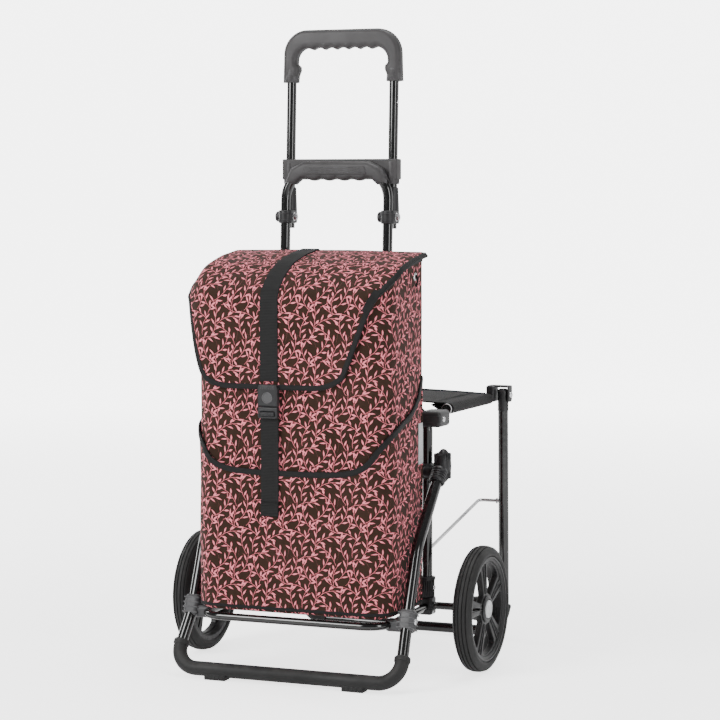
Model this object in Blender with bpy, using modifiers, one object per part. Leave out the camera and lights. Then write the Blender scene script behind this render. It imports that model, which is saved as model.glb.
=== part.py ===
"""Two-wheeled shopping trolley with a fold-up seat, a telescopic pull handle and a lidded bag.

All places are in the trolley's own frame, in metres: X to the right as seen from the front,
Y from front (bag) to rear (seat), Z up, Y = 0 on the wheel axle and Z = 0 on the floor.
The empty "trolley" shifts that frame so that the world origin is under the middle of the box.
"""
import math

import bmesh
import bpy
from mathutils import Matrix, Vector

# ---------------------------------------------------------------- driving dimensions
MIDDLE_SHIFT = -0.0278        # world Y of the wheel axle
GAP = 0.0003                  # between pieces that touch
BEND_STEP = 0.30              # most that a tube turns between two points, in radians

WHEEL_RADIUS = 0.100
TYRE_WIDTH = 0.031
AXLE_Z = WHEEL_RADIUS
WHEEL_X = 0.2425              # middle plane of a wheel
RIM_RADIUS = 0.0835
HUB_RADIUS = 0.0185
HUB_BUTTON_RADIUS = 0.0145
SPOKES = 5

ROD_RADIUS = 0.006            # platform rod, whose ends are the axle stubs
PLATFORM_X = 0.155
PLATFORM_FRONT_Y = -0.200
PLATFORM_Z = 0.0965

FRAME_RADIUS = 0.008          # seat frame, handle frame
SEAT_FRAME_X = 0.1545
SEAT_FRAME_Y = -0.0085
SEAT_FRAME_TOP = 0.420        # centre line of its crossbar
HANDLE_X = 0.0887
HANDLE_LEAN = 0.04            # Y per metre of height
HANDLE_FOOT_Y = -0.0432       # centre line's Y carried down to the floor
HANDLE_TOP = 0.796            # centre line of its top bend
PULL_RADIUS = 0.0076
PULL_BEHIND = 0.0175          # pull tubes behind the handle frame's
PULL_LOW = 0.700
PULL_TOP = 1.002

LEG_RADIUS = 0.009            # front U leg
REAR_LEG_RADIUS = 0.0085
SLEEVE_RADIUS = 0.0113
SLEEVE_WALL = 0.0018

SEAT_PIVOT = (0.0380, 0.401)  # (Y, Z) of the seat's front hinge
LEG_PIVOT = (0.2770, 0.416)   # rear leg on the seat
BRACE_LOW = (-0.0085, 0.174)  # brace rod on the seat frame
BRACE_HIGH = (0.2770, 0.235)  # brace rod at the rear leg
RAIL_X = 0.164
RAIL_RADIUS = 0.00725
RAIL_Z = 0.410
REAR_LEG_TOP_X = 0.1825
REAR_LEG_FOOT_X = 0.187

BAG_HALF_WIDTH = 0.163
BAG_FRONT_Y = -0.205
BAG_REAR_Y = -0.048
BAG_FLOOR_Z = 0.1075
BAG_CORNER = 0.040
BAG_WALL = 0.003
BAG_RIM = ((-0.205, 0.600), (-0.190, 0.616), (-0.155, 0.639), (-0.100, 0.652), (-0.048, 0.659))
LID_GAP = 0.0012
LID_WALL = 0.0035
LID_LIP = 0.008               # how far the lid comes down over the bag's sides
LID_LIP_REAR_Y = -0.066        # behind this the lid has no lip, so that it can swing open
LID_HINGE_Y = -0.050
STRAP_X = -0.028              # middle of the closing strap and of the lid's front
STRAP_WIDTH = 0.030
STRAP_THICKNESS = 0.002
BUCKLE_FRONT_Y = -0.2215

# ---------------------------------------------------------------- scene
for old in list(bpy.data.objects):
    bpy.data.objects.remove(old, do_unlink=True)

PARTS = bpy.data.collections.new("shopping_trolley")
CUTTERS = bpy.data.collections.new("cutters")
for group in (PARTS, CUTTERS):
    bpy.context.scene.collection.children.link(group)


def finish(name, colour, roughness, metallic=0.0):
    """A plain Principled material."""
    material = bpy.data.materials.new(name)
    material.use_nodes = True
    shader = material.node_tree.nodes["Principled BSDF"]
    shader.inputs["Base Color"].default_value = (*colour, 1.0)
    shader.inputs["Roughness"].default_value = roughness
    shader.inputs["Metallic"].default_value = metallic
    return material


PAINT = finish("black_paint", (0.012, 0.012, 0.012), 0.22)
PLASTIC = finish("dark_plastic", (0.045, 0.045, 0.048), 0.55)
RUBBER = finish("black_rubber", (0.020, 0.020, 0.021), 0.65)
GRIP_PLASTIC = finish("grip_plastic", (0.060, 0.060, 0.066), 0.60)
STEEL = finish("bright_steel", (0.62, 0.62, 0.62), 0.28, 1.0)
SILVER_PLASTIC = finish("silver_plastic", (0.62, 0.64, 0.64), 0.35)
CANVAS = finish("bag_canvas", (0.115, 0.050, 0.045), 0.85)
SEAT_CLOTH = finish("seat_cloth", (0.022, 0.021, 0.021), 0.85)
WEBBING = finish("webbing", (0.012, 0.012, 0.013), 0.80)

PIVOTS = {}


def pivot(name, at, parent=None):
    """An empty on a joint's axis; at is in the trolley's frame."""
    empty = bpy.data.objects.new(name, None)
    PARTS.objects.link(empty)
    PIVOTS[name] = Vector(at)
    if parent is None:
        empty.location = at
    else:
        empty.parent = parent
        empty.location = Vector(at) - PIVOTS[parent.name]
    return empty


CHASSIS = pivot("trolley", (0, 0, 0))
CHASSIS.location = (0, MIDDLE_SHIFT, 0)


def place(thing, body, material, group=PARTS):
    """Link an object made at its place on the trolley and hang it from a body's pivot."""
    group.objects.link(thing)
    thing.data.materials.clear()
    thing.data.materials.append(material)
    thing.parent = body
    thing.location = thing.location - PIVOTS[body.name]
    return thing


# ---------------------------------------------------------------- shapes
def mesh_object(name, bm):
    """Turn a bmesh into an object that isn't in the scene yet."""
    mesh = bpy.data.meshes.new(name)
    bm.to_mesh(mesh)
    bm.free()
    return bpy.data.objects.new(name, mesh)


def box(low, high, name="block"):
    """A box between two corners."""
    low, high = Vector(low), Vector(high)
    bm = bmesh.new()
    bmesh.ops.create_cube(bm, size=1.0)
    bmesh.ops.scale(bm, vec=high - low, verts=bm.verts)
    bmesh.ops.translate(bm, vec=(low + high) / 2, verts=bm.verts)
    return mesh_object(name, bm)


def rod(start, end, radius, end_radius=None, sides=16, name="rod"):
    """A round bar or cone between two points."""
    start, end = Vector(start), Vector(end)
    along = end - start
    turn = Vector((0, 0, 1)).rotation_difference(along).to_matrix().to_4x4()
    bm = bmesh.new()
    bmesh.ops.create_cone(
        bm, cap_ends=True, segments=sides, radius1=radius,
        radius2=radius if end_radius is None else end_radius, depth=along.length,
        matrix=Matrix.Translation((start + end) / 2) @ turn)
    return mesh_object(name, bm)


def ball(centre, radii, name="ball"):
    """An ellipsoid."""
    bm = bmesh.new()
    bmesh.ops.create_uvsphere(bm, u_segments=16, v_segments=10, radius=1.0)
    bmesh.ops.scale(bm, vec=radii, verts=bm.verts)
    bmesh.ops.translate(bm, vec=centre, verts=bm.verts)
    return mesh_object(name, bm)


def rounded_route(corners, radii):
    """Points along straight runs whose inner corners are arcs of the given radii."""
    points = [Vector(corners[0])]
    for index, radius in enumerate(radii, 1):
        before, here, after = (Vector(c) for c in corners[index - 1:index + 2])
        back, onward = (before - here).normalized(), (after - here).normalized()
        half = back.angle(onward) / 2
        centre = here + (back + onward).normalized() * radius / math.sin(half)
        start = here + back * radius / math.tan(half) - centre
        end = here + onward * radius / math.tan(half) - centre
        axis = start.cross(end).normalized()
        steps = max(2, round((math.pi - 2 * half) / BEND_STEP))
        for step in range(steps + 1):
            turn = Matrix.Rotation((math.pi - 2 * half) * step / steps, 3, axis)
            points.append(centre + turn @ start)
    points.append(Vector(corners[-1]))
    return points


def mirrored_route(corners, radii):
    """A whole U from the corners of its right half, which stop short of X = 0."""
    left = [(-x, y, z) for x, y, z in reversed(corners)]
    return rounded_route(list(corners) + left, list(radii) + list(reversed(radii)))


def tube_curve(points, radius, resolution=4, capped=True, name="tube"):
    """A round tube along points, as a curve with 2 * resolution + 4 sides."""
    curve = bpy.data.curves.new(name, "CURVE")
    curve.dimensions = "3D"
    curve.bevel_depth = radius
    curve.bevel_resolution = resolution
    curve.use_fill_caps = capped
    spline = curve.splines.new("POLY")
    spline.points.add(len(points) - 1)
    for point, at in zip(spline.points, points):
        point.co = (*at, 1.0)
    return bpy.data.objects.new(name, curve)


def flat_curve(outlines, thickness, name="plate"):
    """A plate in its local XY plane, half its thickness each way; later outlines are holes."""
    curve = bpy.data.curves.new(name, "CURVE")
    curve.dimensions = "2D"
    curve.fill_mode = "BOTH"
    curve.extrude = thickness / 2
    for outline in outlines:
        spline = curve.splines.new("POLY")
        spline.points.add(len(outline) - 1)
        spline.use_cyclic_u = True
        for point, (x, y) in zip(spline.points, outline):
            point.co = (x, y, 0.0, 1.0)
    return bpy.data.objects.new(name, curve)


def as_mesh(thing):
    """The mesh of a curve object, welded, as a new object; the curve is removed."""
    name, matrix = thing.name, thing.matrix_basis.copy()
    bpy.context.scene.collection.objects.link(thing)
    bpy.context.view_layer.update()
    seen = thing.evaluated_get(bpy.context.evaluated_depsgraph_get())
    mesh = bpy.data.meshes.new_from_object(seen)
    bpy.data.objects.remove(thing, do_unlink=True)
    bm = bmesh.new()
    bm.from_mesh(mesh)
    bmesh.ops.remove_doubles(bm, verts=bm.verts, dist=0.00001)
    bmesh.ops.transform(bm, matrix=matrix, verts=bm.verts)
    bm.to_mesh(mesh)
    bm.free()
    mesh.name = name
    return bpy.data.objects.new(name, mesh)


def side_plate(outline, x_low, x_high, name="side_plate"):
    """A solid whose outline is in (Y, Z), between two X planes."""
    plate = flat_curve([outline], x_high - x_low, name)
    # local x runs along Y, local y along Z, local z along X
    turn = Matrix(((0, 0, 1), (1, 0, 0), (0, 1, 0))).to_4x4()
    plate.matrix_basis = Matrix.Translation(((x_low + x_high) / 2, 0, 0)) @ turn
    return as_mesh(plate)


def front_plate(outline, y_low, y_high, name="front_plate"):
    """A solid whose outline is in (X, Z), between two Y planes."""
    plate = flat_curve([outline], y_high - y_low, name)
    turn = Matrix(((1, 0, 0), (0, 0, -1), (0, 1, 0))).to_4x4()
    plate.matrix_basis = Matrix.Translation((0, (y_low + y_high) / 2, 0)) @ turn
    return as_mesh(plate)


def turned(profile, x_place, side, name="turned", steps=40):
    """A ring or disc turned about the wheel axis.

    profile is a closed loop of (outboard distance, radius) with its outer side first.
    """
    bm = bmesh.new()
    ring = [bm.verts.new((side * out, radius, 0.0)) for out, radius in profile]
    edges = [bm.edges.new((a, b)) for a, b in zip(ring, ring[1:] + ring[:1])]
    bmesh.ops.spin(bm, geom=ring + edges, cent=(0, 0, 0), axis=(1, 0, 0), angle=math.tau,
                   steps=steps, use_merge=True)
    bmesh.ops.remove_doubles(bm, verts=bm.verts, dist=0.00001)
    bmesh.ops.recalc_face_normals(bm, faces=bm.faces)
    bmesh.ops.translate(bm, vec=(x_place, 0, AXLE_Z), verts=bm.verts)
    return mesh_object(name, bm)


def fuse(name, body, material, solids, cutters=()):
    """One piece from solids that overlap, less the cutters; the operands are kept as guides."""
    whole = solids[0]
    whole.name = name
    place(whole, body, material)
    for thing in list(solids[1:]) + list(cutters):
        place(thing, body, material, CUTTERS)
        thing.hide_render = True
        thing.display_type = "WIRE"
        step = whole.modifiers.new(thing.name, "BOOLEAN")
        step.operation = "DIFFERENCE" if thing in cutters else "UNION"
        step.object = thing
        step.solver = "EXACT"
    return whole


def pipe(name, body, material, points, radius, wall, resolution=4):
    """A hollow tube that is open at both ends."""
    skin = as_mesh(tube_curve(points, radius, resolution, capped=False))
    skin.name = name
    place(skin, body, material)
    shell = skin.modifiers.new("wall", "SOLIDIFY")
    shell.thickness = wall
    shell.offset = -1.0
    return skin


def handle_y(z):
    """Y of the handle frame's centre line at a height."""
    return HANDLE_FOOT_Y + HANDLE_LEAN * z


def pull_point(x, z):
    """A point on a pull tube's centre line."""
    return (x, handle_y(z) + PULL_BEHIND, z)


# ---------------------------------------------------------------- fixed frame
def platform_route():
    """The platform rod: axle stub, side run, front bar, and the same again."""
    return mirrored_route(
        [(WHEEL_X + 0.0025, 0, AXLE_Z), (PLATFORM_X, 0, AXLE_Z),
         (PLATFORM_X, PLATFORM_FRONT_Y, PLATFORM_Z)], [0.018, 0.036])


def front_leg_route():
    """The front leg from its top right end round the floor bar to its top left end."""
    return mirrored_route(
        [(0.182, -0.0175, 0.3295), (0.1815, -0.125, 0.2105), (0.182, -0.168, 0.102),
         (0.187, -0.2000, 0.0500), (0.188, -0.2200, 0.0155)],
        [0.10, 0.20, 0.12, 0.0340])


def build_frame():
    """Platform rod, seat frame, handle frame, front leg and the sockets that join them."""
    place(tube_curve(platform_route(), ROD_RADIUS, name="platform_rod"), CHASSIS, PAINT)
    place(tube_curve(seat_frame_route(), FRAME_RADIUS, name="seat_frame_tube"), CHASSIS, PAINT)
    place(tube_curve(handle_frame_route(), FRAME_RADIUS, name="handle_frame_tube"),
          CHASSIS, PAINT)
    place(box((-0.1420, -0.0288, 0.1255), (0.1420, -0.0248, 0.1500), "lower_crossbar"),
          CHASSIS, PAINT)
    place(tube_curve(front_leg_route(), LEG_RADIUS, name="front_leg_tube"), CHASSIS, PAINT)
    for side, hand in ((1, "right"), (-1, "left")):
        build_frame_joints(side, hand)


def seat_frame_route():
    """The seat frame's upright inverted U."""
    return mirrored_route(
        [(SEAT_FRAME_X, SEAT_FRAME_Y, 0.112), (SEAT_FRAME_X, SEAT_FRAME_Y, SEAT_FRAME_TOP)],
        [0.040])


def handle_frame_route():
    """The handle frame's inverted U."""
    low, high = 0.126, HANDLE_TOP
    return mirrored_route(
        [(HANDLE_X, handle_y(low), low), (HANDLE_X, handle_y(high), high)], [0.050])


def build_frame_joints(side, hand):
    """The plastic sockets, clips and brackets on one side of the frame."""
    x, y = side * SEAT_FRAME_X, SEAT_FRAME_Y
    fuse(f"upright_socket_{hand}", CHASSIS, PLASTIC,
         [rod((x, y, 0.1085), (x, y, 0.1460), 0.0118),
          box((x - 0.0112, y - 0.0122, 0.0868), (x + 0.0112, y + 0.0118, 0.1110)),
          box((x - side * 0.0119 - 0.0030, -0.0300, 0.1280),
              (x - side * 0.0119 + 0.0030, y, 0.1440))],
         [rod((x, y, 0.1117), (x, y, 0.1500), FRAME_RADIUS + 0.0005),
          tube_cutter(platform_route(), ROD_RADIUS + 0.0006),
          box((x - side * 0.030 - 0.0175, -0.0292, 0.1250),
              (x - side * 0.030 + 0.0175, -0.0244, 0.1505))])
    middle = (handle_y(SEAT_FRAME_TOP) + SEAT_FRAME_Y) / 2
    hx = side * HANDLE_X
    fuse(f"crossbar_clip_{hand}", CHASSIS, PLASTIC,
         [box((hx - 0.0125, middle - 0.0200, 0.4090), (hx + 0.0125, middle + 0.0200, 0.4310))],
         [rod((hx, handle_y(0.40), 0.40), (hx, handle_y(0.44), 0.44), FRAME_RADIUS + 0.0005),
          rod((hx - 0.03, y, SEAT_FRAME_TOP), (hx + 0.03, y, SEAT_FRAME_TOP),
              FRAME_RADIUS + 0.0005)])
    fuse(f"front_bracket_{hand}", CHASSIS, PLASTIC,
         [box((side * 0.1822 - 0.0125, -0.1800, 0.0850), (side * 0.1822 + 0.0125, -0.1530, 0.1225)),
          box((side * 0.1630 - 0.0155, -0.1790, 0.0865), (side * 0.1630 + 0.0155, -0.1540, 0.1065))],
         [tube_cutter(front_leg_route(), LEG_RADIUS + 0.0006),
          tube_cutter(platform_route(), ROD_RADIUS + 0.0006)])
    leg_up = (Vector((0, -0.0175, 0.3295)) - Vector((0, -0.125, 0.2105))).normalized()
    collar = Vector((side * 0.18195, -0.0300, 0.3157))
    fuse(f"leg_top_joint_{hand}", CHASSIS, PLASTIC,
         [rod(collar - leg_up * 0.017, collar + leg_up * 0.006, 0.0130),
          rod((x, -0.0215, 0.3170), (side * 0.1815, -0.0215, 0.3170), 0.0095),
          box((x - 0.0112, y - 0.0135, 0.3060), (x + 0.0112, y + 0.0118, 0.3280)),
          ball((side * 0.1845, -0.0170, 0.3270), (0.0125, 0.0150, 0.0270))],
         [rod((x, y, 0.29), (x, y, 0.35), FRAME_RADIUS + 0.0005),
          tube_cutter(front_leg_route(), LEG_RADIUS + 0.0006)])
    fuse(f"seat_hinge_block_{hand}", CHASSIS, GRIP_PLASTIC,
         [box((side * 0.1620 - 0.0180, -0.0205, 0.3870), (side * 0.1620 + 0.0180, 0.0275, 0.4125)),
          box((side * 0.1490 - 0.0050, 0.0100, 0.3890), (side * 0.1490 + 0.0050, 0.0480, 0.4105))],
         [tube_cutter(seat_frame_route(), FRAME_RADIUS + 0.0005)])


def tube_cutter(points, radius):
    """A solid copy of a tube, a little thicker, for cutting its seat in a fitting."""
    return as_mesh(tube_curve(points, radius, name="tube_seat"))


def build_feet():
    """The rubber sleeve round the floor bar and the two pads under it."""
    route = front_leg_route()
    covered = [p for p in route if p.z < 0.056]
    pipe("foot_sleeve", CHASSIS, RUBBER, covered, SLEEVE_RADIUS, SLEEVE_WALL)
    floor_y, floor_z = route[len(route) // 2].y, route[len(route) // 2].z
    for side, hand in ((1, "right"), (-1, "left")):
        x = side * 0.116
        fuse(f"foot_pad_{hand}", CHASSIS, RUBBER,
             [box((x - 0.0180, floor_y - 0.0095, 0.0), (x + 0.0180, floor_y + 0.0095, 0.0120))],
             [rod((x - 0.03, floor_y, floor_z), (x + 0.03, floor_y, floor_z),
                  SLEEVE_RADIUS + 0.0004)])


def build_lower_grip():
    """The fixed hand grip over the handle frame's top bend, with the pull tubes' sleeves."""
    low, high = 0.7720, 0.8110
    middle = (handle_y(low) + handle_y(high)) / 2
    guides = [rod(pull_point(side * HANDLE_X, low - 0.02), pull_point(side * HANDLE_X, high + 0.02),
                  PULL_RADIUS + 0.0007) for side in (1, -1)]
    waves = [rod((x, middle - 0.03, low - 0.0035), (x, middle + 0.04, low - 0.0035), 0.0075)
             for x in (-0.030, -0.010, 0.010, 0.030)]
    fuse("lower_grip", CHASSIS, GRIP_PLASTIC,
         [box((-0.0995, middle - 0.0115, low), (0.0995, middle + PULL_BEHIND + 0.0105, high))],
         guides + waves + [tube_cutter(handle_frame_route(), FRAME_RADIUS + 0.0005)])
    for side, hand in ((1, "right"), (-1, "left")):
        build_clamp(side, hand)


def build_clamp(side, hand):
    """The clamp that guides a pull tube beside the handle frame, with its bolt's two ends."""
    low, high = 0.7080, 0.7290
    x = side * HANDLE_X
    front, rear = handle_y(low) - 0.0112, handle_y(high) + PULL_BEHIND + 0.0108
    fuse(f"pull_clamp_{hand}", CHASSIS, PLASTIC,
         [box((x - 0.0112, front, low), (x + 0.0112, rear, high)),
          rod(pull_point(x, high - 0.004), pull_point(x, 0.7660), 0.0106, 0.0094)],
         [rod((x, handle_y(0.69), 0.69), (x, handle_y(0.78), 0.78), FRAME_RADIUS + 0.0005),
          rod(pull_point(x, 0.69), pull_point(x, 0.79), PULL_RADIUS + 0.0007)])
    bolt_y, bolt_z = handle_y(0.7185) + PULL_BEHIND / 2, (low + high) / 2
    place(rod((x - 0.0195, bolt_y, bolt_z), (x - 0.0115, bolt_y, bolt_z), 0.0085,
              name=f"clamp_knob_{hand}"), CHASSIS, PLASTIC)
    place(rod((x + 0.0115, bolt_y, bolt_z), (x + 0.0170, bolt_y, bolt_z), 0.0060, sides=6,
              name=f"clamp_nut_{hand}"), CHASSIS, STEEL)


# ---------------------------------------------------------------- pull handle
def build_pull_handle():
    """The sliding U tube and the moulded grip on its top."""
    body = pivot("pull_handle", pull_point(0, PULL_LOW), CHASSIS)
    route = mirrored_route(
        [pull_point(HANDLE_X, PULL_LOW), pull_point(HANDLE_X, PULL_TOP)], [0.030])
    place(tube_curve(route, PULL_RADIUS, name="pull_handle_tube"), body, PAINT)
    low, top, inner_top = 0.9340, 1.0180, 0.9890
    y = handle_y((low + top) / 2) + PULL_BEHIND
    outline = [(-0.1022, low), (-0.0786, low), (-0.0740, 0.9560), (-0.0790, 0.9620)]
    outline += [(-0.0550 - 0.0240 * math.cos(a), inner_top - 0.0215 + 0.0215 * math.sin(a))
                for a in (0.5, 1.0, 1.35)]
    for wave in range(5):
        outline += [(-0.0487 + 0.0195 * wave, inner_top), (-0.0390 + 0.0195 * wave, inner_top - 0.003)]
    outline = outline[:-1]
    outline += [(-x, z) for x, z in reversed(outline) if x < -0.0486]
    corner = 0.040
    for sign in (1, -1):
        arc = [(sign * (0.1010 - corner + corner * math.cos(a)), top - corner + corner * math.sin(a))
               for a in (0, math.pi / 8, math.pi / 4, 3 * math.pi / 8, math.pi / 2)]
        outline += arc if sign == 1 else arc[::-1]
    fuse("upper_grip", body, GRIP_PLASTIC,
         [front_plate(outline, y - 0.0115, y + 0.0115)],
         [tube_cutter(route, PULL_RADIUS + 0.0005)])


# ---------------------------------------------------------------- wheels
def ring_arc(radius, start, end, steps):
    """Points on a circle between two angles."""
    return [(radius * math.cos(start + (end - start) * k / steps),
             radius * math.sin(start + (end - start) * k / steps)) for k in range(steps + 1)]


def build_wheel(side, hand):
    """Tyre, spoked rim and the hub's release button."""
    x = side * WHEEL_X
    wheel = pivot(f"wheel_{hand}", (x, 0, AXLE_Z), CHASSIS)
    button = pivot(f"hub_button_body_{hand}", (x + side * 0.010, 0, AXLE_Z), wheel)
    half = TYRE_WIDTH / 2
    outer = [(-half, 0.0905), (-0.0125, 0.0965), (-0.0055, WHEEL_RADIUS),
             (0.0055, WHEEL_RADIUS), (0.0125, 0.0965), (half, 0.0905)]
    inner = [(half - 0.001, RIM_RADIUS + GAP + 0.0005), (-half + 0.001, RIM_RADIUS + GAP + 0.0005)]
    place(turned(outer + inner, x, side, f"tyre_{hand}"), wheel, RUBBER)
    ring = turned([(-0.0130, RIM_RADIUS), (0.0130, RIM_RADIUS), (0.0130, 0.0765),
                   (-0.0130, 0.0765)], x, side, "rim_ring")
    outlines = [ring_arc(0.0790, 0, math.tau * 39 / 40, 39)]
    for spoke in range(SPOKES):
        middle = math.radians(100 + 36) + math.tau * spoke / SPOKES
        outlines.append(ring_arc(0.0730, middle - 0.36, middle + 0.36, 5)
                        + ring_arc(0.0260, middle + 0.22, middle - 0.22, 2))
    disc = flat_curve(outlines, 0.0100, "spokes")
    turn = Matrix(((0, 0, 1), (1, 0, 0), (0, 1, 0))).to_4x4()
    disc.matrix_basis = Matrix.Translation((x + side * 0.0040, 0, AXLE_Z)) @ turn
    hub = rod((x - 0.0150 * side, 0, AXLE_Z), (x + 0.0130 * side, 0, AXLE_Z), HUB_RADIUS, sides=24)
    fuse(f"rim_{hand}", wheel, PLASTIC, [ring, as_mesh(disc), hub],
         [rod((x - 0.03 * side, 0, AXLE_Z), (x + 0.02 * side, 0, AXLE_Z), ROD_RADIUS + 0.0006),
          rod((x + 0.0030 * side, 0, AXLE_Z), (x + 0.02 * side, 0, AXLE_Z),
              HUB_BUTTON_RADIUS + 0.0008, sides=24)])
    place(rod((x + 0.0068 * side, 0, AXLE_Z), (x + 0.0142 * side, 0, AXLE_Z),
              HUB_BUTTON_RADIUS, sides=24, name=f"hub_button_{hand}"), button, SILVER_PLASTIC)


# ---------------------------------------------------------------- seat and its rear leg
def build_seat():
    """Seat rails, sling, hinge fittings, rear leg and brace rods."""
    seat = pivot("seat", (0, *SEAT_PIVOT), CHASSIS)
    leg = pivot("rear_leg", (0, *LEG_PIVOT), seat)
    place(box((-0.1720, 0.0600, RAIL_Z + RAIL_RADIUS + GAP),
              (0.1720, 0.2560, RAIL_Z + RAIL_RADIUS + 0.0033), "seat_sling"), seat, SEAT_CLOTH)
    leg_route = mirrored_route(
        [(REAR_LEG_TOP_X, LEG_PIVOT[0], 0.3880), (REAR_LEG_FOOT_X, 0.2740, 0.0115)], [0.046])
    place(tube_curve(leg_route, REAR_LEG_RADIUS, name="rear_leg_tube"), leg, PAINT)
    corner = [p for p in leg_route if 0.11 < p.x and p.z < 0.062]
    for side, hand in ((1, "right"), (-1, "left")):
        build_seat_side(side, hand, seat, leg)
        covered = [(side * p.x, p.y, p.z) for p in corner]
        pipe(f"rear_foot_cap_{hand}", leg, RUBBER, covered, 0.0115, 0.0022)
        build_brace(side, hand)


def build_seat_side(side, hand, seat, leg):
    """One seat rail with its hinge fitting in front and its knuckle at the rear."""
    pivot_y, pivot_z = SEAT_PIVOT
    rear_y, rear_z = LEG_PIVOT
    x = side * RAIL_X
    place(rod((x, pivot_y + 0.0152, RAIL_Z), (x, 0.2600, RAIL_Z), RAIL_RADIUS, sides=12,
              name=f"seat_rail_{hand}"), seat, PAINT)
    inner, outer = side * 0.1570, side * 0.1695
    head = side * 0.1722
    fuse(f"rail_pivot_{hand}", seat, STEEL,
         [rod((inner, pivot_y, pivot_z), (outer, pivot_y, pivot_z), 0.0076),
          box((min(inner, outer) + 0.0004, pivot_y, pivot_z - 0.0070),
              (max(inner, outer) - 0.0004, pivot_y + 0.0148, pivot_z + 0.0072)),
          rod((outer - side * 0.004, pivot_y, pivot_z), (head, pivot_y, pivot_z), 0.0045)])
    plate_in, plate_out = side * 0.1570, side * 0.1713
    shell_in, shell_out = side * 0.1928, side * 0.1956
    bolt = side * 0.1990
    fuse(f"rear_knuckle_{hand}", seat, GRIP_PLASTIC,
         [box((min(plate_in, plate_out), 0.2604, rear_z - 0.0120),
              (max(plate_in, plate_out), rear_y + 0.0090, rear_z + 0.0155)),
          box((min(plate_in, shell_out) + 0.0002, rear_y - 0.0092, rear_z + 0.0125),
              (max(plate_in, shell_out) - 0.0002, rear_y + 0.0092, rear_z + 0.0157)),
          box((min(shell_in, shell_out), rear_y - 0.0094, rear_z - 0.0120),
              (max(shell_in, shell_out), rear_y + 0.0094, rear_z + 0.0159)),
          rod((shell_out - side * 0.0015, rear_y, rear_z), (bolt, rear_y, rear_z), 0.0048)])
    top_x = side * REAR_LEG_TOP_X
    fuse(f"rear_leg_cap_{hand}", leg, PLASTIC,
         [rod((top_x, rear_y, 0.3884), (top_x, rear_y, rear_z), 0.0090),
          ball((top_x, rear_y, rear_z), (0.0098, 0.0098, 0.0104))])


def build_brace(side, hand):
    """One brace rod, hinged on the seat frame, with its bent end beside the rear leg."""
    low_y, low_z = BRACE_LOW
    high_y, high_z = BRACE_HIGH
    body = pivot(f"brace_{hand}", (0, low_y, low_z), CHASSIS)
    inner = side * 0.1400
    route = rounded_route(
        [(side * 0.1455, low_y, low_z), (inner, low_y, low_z),
         (inner, high_y, high_z), (side * 0.1755, high_y, high_z)], [0.004, 0.008])
    place(tube_curve(route, 0.0028, 2, name=f"brace_rod_{hand}"), body, STEEL)


# ---------------------------------------------------------------- bag
def bag_outline(grow):
    """The bag's rounded plan outline, moved out by a distance; the rear face is flat."""
    x, front, rear = BAG_HALF_WIDTH + grow, BAG_FRONT_Y - grow, BAG_REAR_Y + grow
    outline = []
    for cx, cy, radius, start in ((x, front, BAG_CORNER + grow, 270), (x, rear, 0.012 + grow, 0),
                                  (-x, rear, 0.012 + grow, 90), (-x, front, BAG_CORNER + grow, 180)):
        middle_x = cx - math.copysign(radius, cx)
        middle_y = cy + radius if cy == front else cy - radius
        for step in range(5):
            angle = math.radians(start + 90 * step / 4)
            outline.append((middle_x + radius * math.cos(angle), middle_y + radius * math.sin(angle)))
    return outline


def bag_prism(grow, low, high, name="bag_prism"):
    """The bag's plan outline as an upright block."""
    block = flat_curve([bag_outline(grow)], high - low, name)
    block.location = (0, 0, (low + high) / 2)
    return as_mesh(block)


def rim_z(y):
    """Height of the bag's curved rim at a distance from the axle."""
    for (y_0, z_0), (y_1, z_1) in zip(BAG_RIM, BAG_RIM[1:]):
        if y <= y_1:
            break
    return z_0 + (z_1 - z_0) * (y - y_0) / (y_1 - y_0)


def rim_line(above, y_low=-0.300, y_high=0.050):
    """(Y, Z) points of a line that follows the rim at a height above it."""
    inside = [y for y, _ in BAG_RIM[1:-1] if y_low < y < y_high]
    return [(y, rim_z(y) + above) for y in (y_low, *inside, y_high)]


def above_rim(above):
    """A block that cuts everything more than a distance above the rim."""
    return side_plate(rim_line(above) + [(0.05, 0.9), (-0.30, 0.9)], -0.25, 0.25, "above_rim")


def strip(name, body, material, points, x_middle, width, thickness):
    """A flat strap whose run is a list of (Y, Z) points along its inner face."""
    outside = []
    for index, point in enumerate(points):
        before = Vector(points[max(index - 1, 0)])
        after = Vector(points[min(index + 1, len(points) - 1)])
        along = (after - before).normalized()
        outside.append(tuple(Vector(point) + Vector((-along.y, along.x)) * thickness))
    band = side_plate(list(points) + outside[::-1], x_middle - width / 2, x_middle + width / 2, name)
    return place(band, body, material)


def build_bag():
    """The open bag with its stiff base and front pocket."""
    fuse("bag_body", CHASSIS, CANVAS,
         [bag_prism(0.0, BAG_FLOOR_Z, 0.70)],
         [bag_prism(-BAG_WALL, BAG_FLOOR_Z + BAG_WALL, 0.75), above_rim(0.0)])
    place(bag_prism(-BAG_WALL - 0.0010, BAG_FLOOR_Z + BAG_WALL + GAP,
                    BAG_FLOOR_Z + BAG_WALL + 0.0043, "bag_base_board"), CHASSIS, PLASTIC)
    mouth = [(-0.30, 0.332), (-0.200, 0.334), (-0.190, 0.372), (-0.187, 0.391),
             (-0.120, 0.418), (-0.065, 0.456), (-0.040, 0.485), (0.05, 0.560),
             (0.05, 0.70), (-0.30, 0.70)]
    fuse("front_pocket", CHASSIS, CANVAS,
         [bag_prism(0.0024, BAG_FLOOR_Z + 0.004, 0.60)],
         [bag_prism(0.0004, BAG_FLOOR_Z - 0.01, 0.65), side_plate(mouth, -0.25, 0.25, "mouth"),
          box((-0.25, -0.058, 0.05), (0.25, 0.0, 0.70))])


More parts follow.
